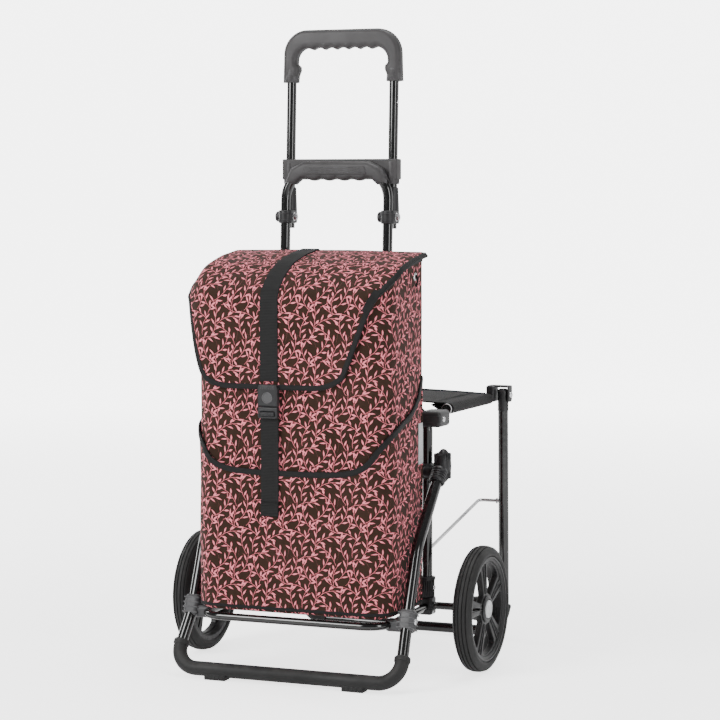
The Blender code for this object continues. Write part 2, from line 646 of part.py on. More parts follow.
def build_lid():
    """The hood-shaped lid, hinged along the bag's rear top edge, with strap and buckle."""
    hinge_z = rim_z(LID_HINGE_Y) + LID_GAP + LID_WALL / 2
    lid = pivot("lid", (0, LID_HINGE_Y, hinge_z), CHASSIS)
    side_edge = (rim_line(-LID_LIP, y_low=-0.186, y_high=LID_LIP_REAR_Y)
                 + rim_line(LID_GAP - GAP, y_low=LID_LIP_REAR_Y) + [(0.05, 0.30), (-0.186, 0.30)])
    front_edge = [(-0.30, 0.30), (-0.30, 0.620)]
    left = [(-0.171, 0.600), (-0.160, 0.520), (-0.150, 0.487), (-0.130, 0.466), (-0.105, 0.459)]
    right = [(0.055, 0.459), (0.078, 0.466), (0.097, 0.485), (0.115, 0.530), (0.131, 0.574),
             (0.159, 0.612), (0.175, 0.625)]
    front_edge += left + right + [(0.30, 0.640), (0.30, 0.30)]
    fuse("bag_lid", lid, CANVAS,
         [bag_prism(LID_GAP + LID_WALL, 0.42, 0.72)],
         [above_rim(LID_GAP + LID_WALL), lid_hollow(),
          side_plate(side_edge, -0.25, 0.25, "side_edge"),
          front_plate(front_edge, -0.35, -0.14, "front_edge"),
          box((-0.25, -0.0520, 0.30), (0.25, 0.05, 0.80))])
    out = BAG_FRONT_Y - LID_GAP - LID_WALL - GAP
    over = LID_GAP + LID_WALL + GAP
    strip("strap_upper", lid, WEBBING,
          [(out, 0.4720)] + rim_line(over, out, -0.0560),
          STRAP_X, STRAP_WIDTH, STRAP_THICKNESS)
    left_x, right_x = STRAP_X - 0.0165, STRAP_X + 0.0165
    place(box((left_x, BUCKLE_FRONT_Y, 0.4300), (right_x, out - STRAP_THICKNESS - GAP, 0.4640),
              "buckle_upper"), lid, PLASTIC)
    face = BAG_FRONT_Y - 0.0024 - GAP
    place(box((STRAP_X - STRAP_WIDTH / 2, face - STRAP_THICKNESS, 0.2600),
              (STRAP_X + STRAP_WIDTH / 2, face, 0.4540), "strap_lower"), CHASSIS, WEBBING)
    rear = face - STRAP_THICKNESS - GAP
    fuse("buckle_lower", CHASSIS, PLASTIC,
         [box((left_x, BUCKLE_FRONT_Y, 0.4120), (right_x, rear, 0.4296))],
         [box((STRAP_X - 0.0120, BUCKLE_FRONT_Y - 0.01, 0.4150),
              (STRAP_X + 0.0120, BUCKLE_FRONT_Y + 0.0045, 0.4225))])
    press = pivot("buckle_press", (STRAP_X, BUCKLE_FRONT_Y, 0.4187), CHASSIS)
    place(box((STRAP_X - 0.0115, BUCKLE_FRONT_Y - 0.0010, 0.4155),
              (STRAP_X + 0.0115, BUCKLE_FRONT_Y + 0.0022, 0.4220), "buckle_release"),
          press, PLASTIC)


def lid_hollow():
    """The space under the lid: the bag's outline a little larger, below its roof."""
    inner = bag_prism(LID_GAP, 0.30, 0.72, "lid_hollow")
    roof = above_rim(LID_GAP)
    CUTTERS.objects.link(roof)
    CUTTERS.objects.link(inner)
    trim = inner.modifiers.new("roof", "BOOLEAN")
    trim.operation = "DIFFERENCE"
    trim.object = roof
    bpy.context.view_layer.update()
    seen = inner.evaluated_get(bpy.context.evaluated_depsgraph_get())
    mesh = bpy.data.meshes.new_from_object(seen)
    for thing in (inner, roof):
        bpy.data.objects.remove(thing, do_unlink=True)
    return bpy.data.objects.new("lid_hollow", mesh)


build_frame()
build_feet()
build_lower_grip()
build_pull_handle()
for wheel_side, wheel_hand in ((1, "right"), (-1, "left")):
    build_wheel(wheel_side, wheel_hand)
build_seat()
build_bag()
build_lid()
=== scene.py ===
"""Looks of a two-wheeled shopping trolley with a lidded bag and a fold-up seat.

Every piece is modelled in the trolley's own frame, in metres: X to the right as seen from the front,
Y from the bag towards the seat with 0 on the wheel axle, Z up with 0 on the floor. Shape.publish()
moves a finished mesh by the axle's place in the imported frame, so each object stays at the origin.
"""
import sys
import logging
import math
from dataclasses import dataclass, field
from enum import Enum
from typing import Any, Callable, Iterable, Sequence

import bmesh
import bpy
from mathutils import Matrix, Vector, noise


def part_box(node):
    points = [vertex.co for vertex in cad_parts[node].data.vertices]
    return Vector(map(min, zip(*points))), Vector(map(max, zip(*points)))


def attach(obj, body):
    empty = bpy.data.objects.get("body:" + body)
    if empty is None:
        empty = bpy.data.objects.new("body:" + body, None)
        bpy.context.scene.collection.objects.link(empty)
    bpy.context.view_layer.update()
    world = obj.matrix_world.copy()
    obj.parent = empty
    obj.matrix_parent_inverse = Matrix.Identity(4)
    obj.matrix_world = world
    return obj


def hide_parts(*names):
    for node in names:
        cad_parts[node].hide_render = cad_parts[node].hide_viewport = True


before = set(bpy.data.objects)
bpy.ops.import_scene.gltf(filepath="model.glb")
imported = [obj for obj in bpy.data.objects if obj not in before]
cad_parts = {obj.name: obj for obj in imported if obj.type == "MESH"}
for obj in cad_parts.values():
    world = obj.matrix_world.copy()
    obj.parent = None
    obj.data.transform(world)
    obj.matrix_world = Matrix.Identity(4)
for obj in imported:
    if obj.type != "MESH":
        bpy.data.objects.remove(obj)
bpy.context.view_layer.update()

LOG = logging.getLogger("trolley")

Colour = tuple[float, float, float]
Flat = tuple[float, float]
Route = list[Vector]
Settle = Callable[[float, float], tuple[Vector, Flat]]


class Side(Enum):
    """The trolley's two sides, as seen from the front."""

    RIGHT = 1
    LEFT = -1

    @property
    def hand(self) -> str:
        """The word used in the names of nodes and pieces."""
        return self.name.lower()


class Slot(Enum):
    """The record's material slots."""

    PAINT = "black_paint"
    PLASTIC = "dark_plastic"
    GRIP = "grip_plastic"
    RUBBER = "black_rubber"
    TYRE = "tyre_rubber"
    STEEL = "bright_steel"
    SILVER = "silver_plastic"
    CANVAS = "bag_canvas"
    SEAT = "seat_cloth"
    WEBBING = "webbing"


def axle_place() -> float:
    """World Y of the wheel axle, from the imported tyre."""
    low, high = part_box("tyre_right")
    return (low.y + high.y) / 2


AXLE_Y = axle_place()
TO_WORLD = Matrix.Translation((0, AXLE_Y, 0))
BEND_STEP = 0.11              # most that a tube turns between two points, in radians


# ---------------------------------------------------------------- routes and outlines
def rounded_route(corners: Sequence[Iterable[float]], radii: Sequence[float],
                  step: float = BEND_STEP) -> Route:
    """Points along straight runs whose inner corners are arcs.

    Args:
        corners: The run's ends and the corners between them.
        radii: The arc's radius at each inner corner.
        step: The most that the route turns between two points.

    Returns:
        The route's points.
    """
    points = [Vector(corners[0])]
    for index, radius in enumerate(radii, 1):
        before, here, after = (Vector(c) for c in corners[index - 1:index + 2])
        back, onward = (before - here).normalized(), (after - here).normalized()
        half = back.angle(onward) / 2
        centre = here + (back + onward).normalized() * radius / math.sin(half)
        start = here + back * radius / math.tan(half) - centre
        end = here + onward * radius / math.tan(half) - centre
        axis = start.cross(end).normalized()
        steps = max(2, round((math.pi - 2 * half) / step))
        for count in range(steps + 1):
            turn = Matrix.Rotation((math.pi - 2 * half) * count / steps, 3, axis)
            points.append(centre + turn @ start)
    points.append(Vector(corners[-1]))
    return points


def mirrored_route(corners: Sequence[Iterable[float]], radii: Sequence[float]) -> Route:
    """A whole U from the corners of its right half, which stop short of X = 0."""
    left = [(-x, y, z) for x, y, z in reversed(corners)]
    return rounded_route(list(corners) + left, list(radii) + list(reversed(radii)))


def rounded_outline(corners: Sequence[Flat], radius: float | Sequence[float],
                    step: float = 0.2) -> list[Flat]:
    """A closed flat outline with its corners rounded.

    Args:
        corners: The outline's corners in order.
        radius: One radius for all corners, or one for each.
        step: The most that an arc turns between two points.

    Returns:
        The outline's points.
    """
    count = len(corners)
    radii = [radius] * count if isinstance(radius, (int, float)) else list(radius)
    points: list[Flat] = []
    for index in range(count):
        trio = [(*corners[(index + k - 1) % count], 0.0) for k in range(3)]
        points += [(p.x, p.y) for p in rounded_route(trio, [radii[index]], step)[1:-1]]
    return points


def arc(radius: float, start: float, end: float, steps: int) -> list[Flat]:
    """Points on a circle about the origin between two angles."""
    angles = (start + (end - start) * k / steps for k in range(steps + 1))
    return [(radius * math.cos(a), radius * math.sin(a)) for a in angles]


def eased(value: float) -> float:
    """A smooth step from 0 to 1."""
    value = min(max(value, 0.0), 1.0)
    return value * value * (3 - 2 * value)


def along_table(table: Sequence[Flat], key: float) -> float:
    """The value at a key, between a table's entries in a smooth curve."""
    if key <= table[0][0]:
        return table[0][1]
    for index in range(len(table) - 1):
        (k0, v0), (k1, v1) = table[index], table[index + 1]
        if key <= k1:
            before = table[max(index - 1, 0)]
            after = table[min(index + 2, len(table) - 1)]
            slope_0 = (v1 - before[1]) / max(k1 - before[0], 1e-6)
            slope_1 = (after[1] - v0) / max(after[0] - k0, 1e-6)
            t, span = (key - k0) / (k1 - k0), k1 - k0
            return ((2 * t ** 3 - 3 * t ** 2 + 1) * v0 + (t ** 3 - 2 * t ** 2 + t) * span * slope_0
                    + (3 * t ** 2 - 2 * t ** 3) * v1 + (t ** 3 - t ** 2) * span * slope_1)
    return table[-1][1]


class Path:
    """A route that is read by the distance along it."""

    def __init__(self, points: Route) -> None:
        """Keep the points and their distances from the start."""
        self.points = points
        self.marks = [0.0]
        for before, after in zip(points, points[1:]):
            self.marks.append(self.marks[-1] + (after - before).length)
        self.length = self.marks[-1]

    def at(self, distance: float) -> Vector:
        """The point at a distance from the start."""
        distance = min(max(distance, 0.0), self.length)
        for index in range(len(self.points) - 1):
            if distance <= self.marks[index + 1]:
                span = max(self.marks[index + 1] - self.marks[index], 1e-9)
                share = (distance - self.marks[index]) / span
                return self.points[index].lerp(self.points[index + 1], share)
        return self.points[-1].copy()

    def heading(self, distance: float, reach: float = 0.004) -> Vector:
        """The direction of travel about a distance from the start."""
        ahead = self.at(min(distance + reach, self.length))
        return (ahead - self.at(max(distance - reach, 0.0))).normalized()


# ---------------------------------------------------------------- modelling
FACE_FRONT = Matrix(((1, 0, 0), (0, 0, -1), (0, 1, 0))).to_4x4()      # outline in X and Z
FACE_SIDE = Matrix(((0, 0, 1), (1, 0, 0), (0, 1, 0))).to_4x4()        # outline in Y and Z
FACE_UP = Matrix.Identity(4)                                          # outline in X and Y


class Shape:
    """One piece's mesh while it is being modelled."""

    SHARP = math.radians(38)

    def __init__(self) -> None:
        """Start with an empty mesh."""
        self.mesh = bmesh.new()

    def take(self, part: bmesh.types.BMesh, matrix: Matrix | None = None) -> "Shape":
        """Add a finished mesh to the piece, and free it.

        Args:
            part: The mesh to add.
            matrix: Where it goes, if it isn't in place yet.

        Returns:
            The piece, so that calls can be chained.
        """
        if matrix is not None:
            bmesh.ops.transform(part, matrix=matrix, verts=part.verts)
        carrier = bpy.data.meshes.new("carrier")
        part.to_mesh(carrier)
        part.free()
        self.mesh.from_mesh(carrier)
        bpy.data.meshes.remove(carrier)
        return self

    def block(self, low: Iterable[float], high: Iterable[float], edge: float = 0.001,
              segments: int = 3, turn: Matrix | None = None) -> "Shape":
        """Add a box with rounded edges, turned about its own middle if asked."""
        low, high = Vector(low), Vector(high)
        low, high = (Vector(map(min, low, high)), Vector(map(max, low, high)))
        part = bmesh.new()
        bmesh.ops.create_cube(part, size=1.0)
        bmesh.ops.scale(part, vec=high - low, verts=part.verts)
        bmesh.ops.bevel(part, geom=part.edges[:], offset=edge, segments=segments, profile=0.5,
                        affect="EDGES", material=-1, clamp_overlap=True)
        place = Matrix.Translation((low + high) / 2)
        return self.take(part, place @ turn if turn else place)

    def lathe(self, profile: Sequence[Flat], start: Iterable[float], axis: Iterable[float],
              steps: int = 40, ring: bool = False) -> "Shape":
        """Add a turned shape.

        Args:
            profile: (distance along the axis, radius) from one end to the other.
            start: The place of distance 0.
            axis: The direction of the axis.
            steps: How many sides it gets.
            ring: Whether the profile is a closed loop that stays off the axis.

        Returns:
            The piece.
        """
        part = bmesh.new()
        dots = [part.verts.new((along, radius, 0.0)) for along, radius in profile]
        pairs = list(zip(dots, dots[1:])) + ([(dots[-1], dots[0])] if ring else [])
        lines = [part.edges.new(pair) for pair in pairs]
        bmesh.ops.spin(part, geom=dots + lines, cent=(0, 0, 0), axis=(1, 0, 0), angle=math.tau,
                       steps=steps, use_merge=True)
        bmesh.ops.remove_doubles(part, verts=part.verts, dist=0.000001)
        bmesh.ops.recalc_face_normals(part, faces=part.faces)
        turn = Vector((1, 0, 0)).rotation_difference(Vector(axis)).to_matrix().to_4x4()
        return self.take(part, Matrix.Translation(Vector(start)) @ turn)

    def bolt(self, start: Iterable[float], axis: Iterable[float], radius: float,
             height: float, sides: int = 28) -> "Shape":
        """Add a low domed head that stands on a surface."""
        profile = [(-0.001, 0.0), (-0.001, radius), (height * 0.45, radius),
                   (height * 0.8, radius * 0.86), (height, radius * 0.55), (height, radius * 0.5),
                   (height * 0.72, radius * 0.42), (height * 0.72, 0.0)]
        return self.lathe(profile, start, axis, sides)

    def ball(self, centre: Iterable[float], radii: Iterable[float]) -> "Shape":
        """Add an ellipsoid."""
        part = bmesh.new()
        bmesh.ops.create_uvsphere(part, u_segments=36, v_segments=20, radius=1.0)
        bmesh.ops.scale(part, vec=Vector(radii), verts=part.verts)
        return self.take(part, Matrix.Translation(Vector(centre)))

    def curve(self, curve: bpy.types.Curve, matrix: Matrix | None = None) -> "Shape":
        """Add the mesh that a curve's bevel or fill makes, with its caps merged on."""
        carrier = bpy.data.objects.new("curve", curve)
        bpy.context.scene.collection.objects.link(carrier)
        bpy.context.view_layer.update()
        seen = carrier.evaluated_get(bpy.context.evaluated_depsgraph_get())
        mesh = bpy.data.meshes.new_from_object(seen)
        part = bmesh.new()
        part.from_mesh(mesh)
        bpy.data.objects.remove(carrier, do_unlink=True)
        bpy.data.curves.remove(curve)
        bpy.data.meshes.remove(mesh)
        bmesh.ops.remove_doubles(part, verts=part.verts, dist=0.000002)
        bmesh.ops.recalc_face_normals(part, faces=part.faces)
        return self.take(part, matrix)

    def tube(self, route: Route, radius: float, sides: int = 28, capped: bool = True) -> "Shape":
        """Add a round tube along a route."""
        curve = bpy.data.curves.new("tube", "CURVE")
        curve.dimensions = "3D"
        curve.bevel_depth = radius
        curve.bevel_resolution = (sides - 4) // 2
        curve.use_fill_caps = capped
        line = curve.splines.new("POLY")
        line.points.add(len(route) - 1)
        for point, at in zip(line.points, route):
            point.co = (*at, 1.0)
        return self.curve(curve)

    def plate(self, outlines: Sequence[Sequence[Flat]], thickness: float, edge: float,
              facing: Matrix, at: Iterable[float] = (0, 0, 0), segments: int = 2) -> "Shape":
        """Add a plate with rounded edges.

        Args:
            outlines: Closed flat outlines; those inside the first are holes.
            thickness: The plate's whole thickness.
            edge: The radius of its edges.
            facing: The turn that stands the outline in the right plane.
            at: The middle of the thickness and the outline's origin.
            segments: How finely the edges are rounded.

        Returns:
            The piece.
        """
        curve = bpy.data.curves.new("plate", "CURVE")
        curve.dimensions = "2D"
        curve.fill_mode = "BOTH"
        curve.extrude = thickness / 2 - edge
        curve.bevel_depth = edge
        curve.bevel_resolution = segments
        curve.offset = -edge
        for outline in outlines:
            line = curve.splines.new("POLY")
            line.points.add(len(outline) - 1)
            line.use_cyclic_u = True
            for point, (x, y) in zip(line.points, outline):
                point.co = (x, y, 0.0, 1.0)
        return self.curve(curve, Matrix.Translation(Vector(at)) @ facing)

    @staticmethod
    def settled(columns: int, rows: int, settle: Settle) -> bmesh.types.BMesh:
        """A flat grid moved into place, with its flat pattern kept as a UV map."""
        part = bmesh.new()
        bmesh.ops.create_grid(part, x_segments=columns, y_segments=rows, size=0.5)
        flat = part.loops.layers.uv.new("Flat")
        found = {dot: settle(dot.co.x + 0.5, dot.co.y + 0.5) for dot in part.verts}
        for face in part.faces:
            for loop in face.loops:
                loop[flat].uv = found[loop.vert][1]
        for dot, (place, _) in found.items():
            dot.co = place
        return part

    def cloth(self, columns: int, rows: int, settle: Settle, closed: bool = False) -> "Shape":
        """Add a sheet that starts flat and is settled into place.

        Args:
            columns: Squares across.
            rows: Squares along.
            settle: Gives, for the shares across and along, the place and the flat pattern's point.
            closed: Whether the last column meets the first.

        Returns:
            The piece.
        """
        part = self.settled(columns, rows, settle)
        if closed:
            bmesh.ops.remove_doubles(part, verts=part.verts, dist=0.00001)
        return self.take(part)

    def band(self, line: Sequence[tuple[Vector, Vector]], width: float, thickness: float,
             looped: bool = False, squareness: float = 0.55) -> "Shape":
        """Add a closed band with soft edges, such as webbing or a bound edge.

        Args:
            line: The middle of the band, as (place, surface normal) pairs.
            width: Its width across the line, in the surface.
            thickness: Its thickness along the normal.
            looped: Whether the end meets the start.
            squareness: 1 for an oval section, less for a flatter one.

        Returns:
            The piece.
        """
        count, around = len(line), 16
        places = [place for place, _ in line]
        marks = [0.0]
        for before, after in zip(places, places[1:]):
            marks.append(marks[-1] + (after - before).length)
        frames = []
        for index, (place, normal) in enumerate(line):
            last = count - 1
            before = places[index - 1] if index or looped else place
            after = places[(index + 1) % count] if index < last or looped else place
            if looped and index in (0, last):
                before, after = places[last - 1], places[1]
            across = (after - before).cross(normal).normalized()
            frames.append((place, across, across.cross(after - before).normalized() * -1))

        def settle(share: float, turn: float) -> tuple[Vector, Flat]:
            """A point of the band's skin."""
            step = min(max(round(share * (count - 1)), 0), count - 1)
            place, across, up = frames[step]
            angle = math.tau * turn
            swing, lift = math.cos(angle), math.sin(angle)
            swing = math.copysign(abs(swing) ** squareness, swing)
            lift = math.copysign(abs(lift) ** squareness, lift)
            return (place + across * swing * width / 2 + up * lift * thickness / 2,
                    (swing * width / 2, marks[step]))

        part = self.settled(count - 1, around, settle)
        bmesh.ops.remove_doubles(part, verts=part.verts, dist=0.000005)
        if not looped:
            rims = [e for e in part.edges if e.is_boundary]
            bmesh.ops.holes_fill(part, edges=rims, sides=0)
        bmesh.ops.recalc_face_normals(part, faces=part.faces)
        return self.take(part)

    def publish(self, name: str, finish: "Finish", body: str, replaces: Sequence[str] = (),
                extra: Sequence["Finish"] = ()) -> bpy.types.Object:
        """Make the piece an object that rides on a body.

        Args:
            name: The piece's name.
            finish: Its main finish.
            body: The body of the frame that it moves with.
            replaces: The nodes of the frame that it stands for.
            extra: Finishes of further material slots.

        Returns:
            The object.
        """
        bmesh.ops.transform(self.mesh, matrix=TO_WORLD, verts=self.mesh.verts)
        mesh = bpy.data.meshes.new(name)
        self.mesh.to_mesh(mesh)
        self.mesh.free()
        thing = bpy.data.objects.new(name, mesh)
        bpy.context.scene.collection.objects.link(thing)
        for each in (finish, *extra):
            mesh.materials.append(each.material())
        mesh.shade_smooth()
        mesh.set_sharp_from_angle(angle=self.SHARP)
        if body:
            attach(thing, body)
        if replaces:
            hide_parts(*replaces)
        LOG.info("%s: %d faces on %s", name, len(mesh.polygons), body)
        return thing


def wall(thing: bpy.types.Object, thickness: float, offset: float = -1.0,
         inner: int = 0, rim: int = 0) -> None:
    """Give a sheet its thickness, with other material slots inside and on the rim if asked."""
    shell = thing.modifiers.new("wall", "SOLIDIFY")
    shell.thickness = thickness
    shell.offset = offset
    shell.use_even_offset = True
    shell.material_offset = inner
    shell.material_offset_rim = rim


# ---------------------------------------------------------------- finishes
class Wiring:
    """A node tree while it is being wired."""

    def __init__(self, tree: bpy.types.NodeTree) -> None:
        """Keep the tree."""
        self.tree = tree

    def feed(self, socket: bpy.types.NodeSocket, value: Any) -> None:
        """Link a socket to another, or set its value."""
        if isinstance(value, bpy.types.NodeSocket):
            self.tree.links.new(value, socket)
        else:
            socket.default_value = value

    def add(self, kind: str, feeds: dict[Any, Any] | None = None, **settings: Any) -> bpy.types.Node:
        """Add a node with its settings and what feeds its inputs."""
        node = self.tree.nodes.new(kind)
        for key, value in settings.items():
            setattr(node, key, value)
        for key, value in (feeds or {}).items():
            self.feed(node.inputs[key], value)
        return node

    def calc(self, operation: str, *values: Any, clamp: bool = False) -> bpy.types.NodeSocket:
        """One step of arithmetic."""
        return self.add("ShaderNodeMath", dict(enumerate(values)), operation=operation,
                        use_clamp=clamp).outputs[0]

    def vector(self, operation: str, *values: Any) -> bpy.types.Node:
        """One step of vector arithmetic."""
        return self.add("ShaderNodeVectorMath", dict(enumerate(values)), operation=operation)

    def mix(self, factor: Any, first: Any, second: Any) -> bpy.types.NodeSocket:
        """A mix of two colours."""
        feeds = {0: factor, 6: rgba(first), 7: rgba(second)}
        return self.add("ShaderNodeMix", feeds, data_type="RGBA").outputs[2]

    def spread(self, value: Any, low: float, high: float, out_low: float = 0.0,
               out_high: float = 1.0) -> bpy.types.NodeSocket:
        """A value moved from one range to another and held inside it."""
        feeds = {0: value, 1: low, 2: high, 3: out_low, 4: out_high}
        return self.add("ShaderNodeMapRange", feeds).outputs[0]

    def speckle(self, vector: Any, scale: float, detail: float = 3.0,
                roughness: float = 0.55) -> bpy.types.NodeSocket:
        """A noise value about 0.5."""
        feeds = {"Vector": vector, "Scale": scale, "Detail": detail, "Roughness": roughness}
        return self.add("ShaderNodeTexNoise", feeds).outputs[0]

    def group(self, name: str, **feeds: Any) -> bpy.types.NodeOutputs:
        """A shared effect placed in this tree; words in its inputs' names are joined by _."""
        node = self.add("ShaderNodeGroup", node_tree=bpy.data.node_groups[name])
        for key, value in feeds.items():
            self.feed(node.inputs[key.replace("_", " ").title()], value)
        return node.outputs


def rgba(colour: Any) -> Any:
    """A colour with its alpha, or the socket that it comes from."""
    return colour if isinstance(colour, bpy.types.NodeSocket) else (*colour, 1.0)


def effect(name: str, inputs: dict[str, Any], outputs: dict[str, str]
           ) -> tuple[Wiring, Any, Any]:
    """Begin a shared effect.

    Args:
        name: The group's name.
        inputs: Each input's starting value: a number, or three for a vector.
        outputs: Each output's socket type.

    Returns:
        The wiring, what comes in and what goes out.
    """
    tree = bpy.data.node_groups.new(name, "ShaderNodeTree")
    for key, value in inputs.items():
        kind = "NodeSocketVector" if isinstance(value, tuple) else "NodeSocketFloat"
        socket = tree.interface.new_socket(key, in_out="INPUT", socket_type=kind)
        socket.default_value = value
    for key, kind in outputs.items():
        tree.interface.new_socket(key, in_out="OUTPUT", socket_type=kind)
    wiring = Wiring(tree)
    return wiring, wiring.add("NodeGroupInput").outputs, wiring.add("NodeGroupOutput").inputs


ORIGIN = (0.0, 0.0, 0.0)
NUMBER = "NodeSocketFloat"


def make_grain() -> None:
    """Moulding grain, with broad patches for uneven gloss."""
    wiring, come, go = effect("Grain", {"Vector": ORIGIN, "Scale": 900.0},
                              {"Height": NUMBER, "Patches": NUMBER})
    fine = wiring.speckle(come["Vector"], come["Scale"], 2.0)
    cells = wiring.add("ShaderNodeTexVoronoi", {"Vector": come["Vector"], "Scale": come["Scale"]})
    wiring.feed(go["Height"], wiring.calc("ADD", fine, wiring.calc("MULTIPLY", cells.outputs[0], 0.5)))
    broad = wiring.speckle(come["Vector"], 14.0, 4.0, 0.6)
    wiring.feed(go["Patches"], wiring.spread(broad, 0.35, 0.65))


def make_edge_wear() -> None:
    """Where handling has rubbed the outer edges, broken up by noise."""
    wiring, come, go = effect("Edge Wear", {"Vector": ORIGIN, "Pointiness": 0.5, "Amount": 0.5},
                              {"Mask": NUMBER})
    edge = wiring.spread(come["Pointiness"], 0.53, 0.62)
    broken = wiring.spread(wiring.speckle(come["Vector"], 120.0, 4.0, 0.7), 0.42, 0.62)
    wiring.feed(go["Mask"],
                wiring.calc("MULTIPLY", wiring.calc("MULTIPLY", edge, broken), come["Amount"]))


def make_dust() -> None:
    """A thin fall of dust on faces that look up."""
    wiring, come, go = effect("Dust", {"Vector": ORIGIN, "Normal": (0.0, 0.0, 1.0), "Amount": 0.2},
                              {"Mask": NUMBER})
    up = wiring.add("ShaderNodeSeparateXYZ", {0: come["Normal"]}).outputs[2]
    patchy = wiring.spread(wiring.speckle(come["Vector"], 40.0, 5.0, 0.65), 0.35, 0.75)
    fall = wiring.calc("MULTIPLY", wiring.spread(up, 0.2, 1.0), patchy)
    wiring.feed(go["Mask"], wiring.calc("MULTIPLY", fall, come["Amount"]))


def make_weave() -> None:
    """A plain weave read from a flat pattern in metres."""
    wiring, come, go = effect("Weave", {"Vector": ORIGIN, "Threads": 1600.0},
                              {"Height": NUMBER, "Tint": NUMBER})
    turns = wiring.vector("SCALE", come["Vector"])
    wiring.feed(turns.inputs["Scale"], wiring.calc("MULTIPLY", come["Threads"], math.pi))
    parts = wiring.add("ShaderNodeSeparateXYZ", {0: turns.outputs[0]}).outputs
    warp = wiring.calc("SINE", parts[0])
    weft = wiring.calc("SINE", parts[1])
    over = wiring.calc("MULTIPLY", warp, weft)
    crown = wiring.calc("ADD", wiring.calc("ABSOLUTE", warp), wiring.calc("ABSOLUTE", weft))
    height = wiring.calc("ADD", wiring.calc("MULTIPLY", over, 0.45), wiring.calc("MULTIPLY", crown, 0.5))
    wiring.feed(go["Height"], height)
    slubs = wiring.add("ShaderNodeMapping", {"Vector": come["Vector"], "Scale": (60.0, 900.0, 1.0)})
    streak = wiring.speckle(slubs.outputs[0], 1.0, 2.0)
    wiring.feed(go["Tint"], wiring.spread(streak, 0.3, 0.7))


@dataclass(frozen=True)
class Sprig:
    """One stem of leaves in the repeat of the print, in metres and degrees."""

    across: float
    up: float
    heading: float
    length: float
    bend: float
    leaf: float = 0.0108


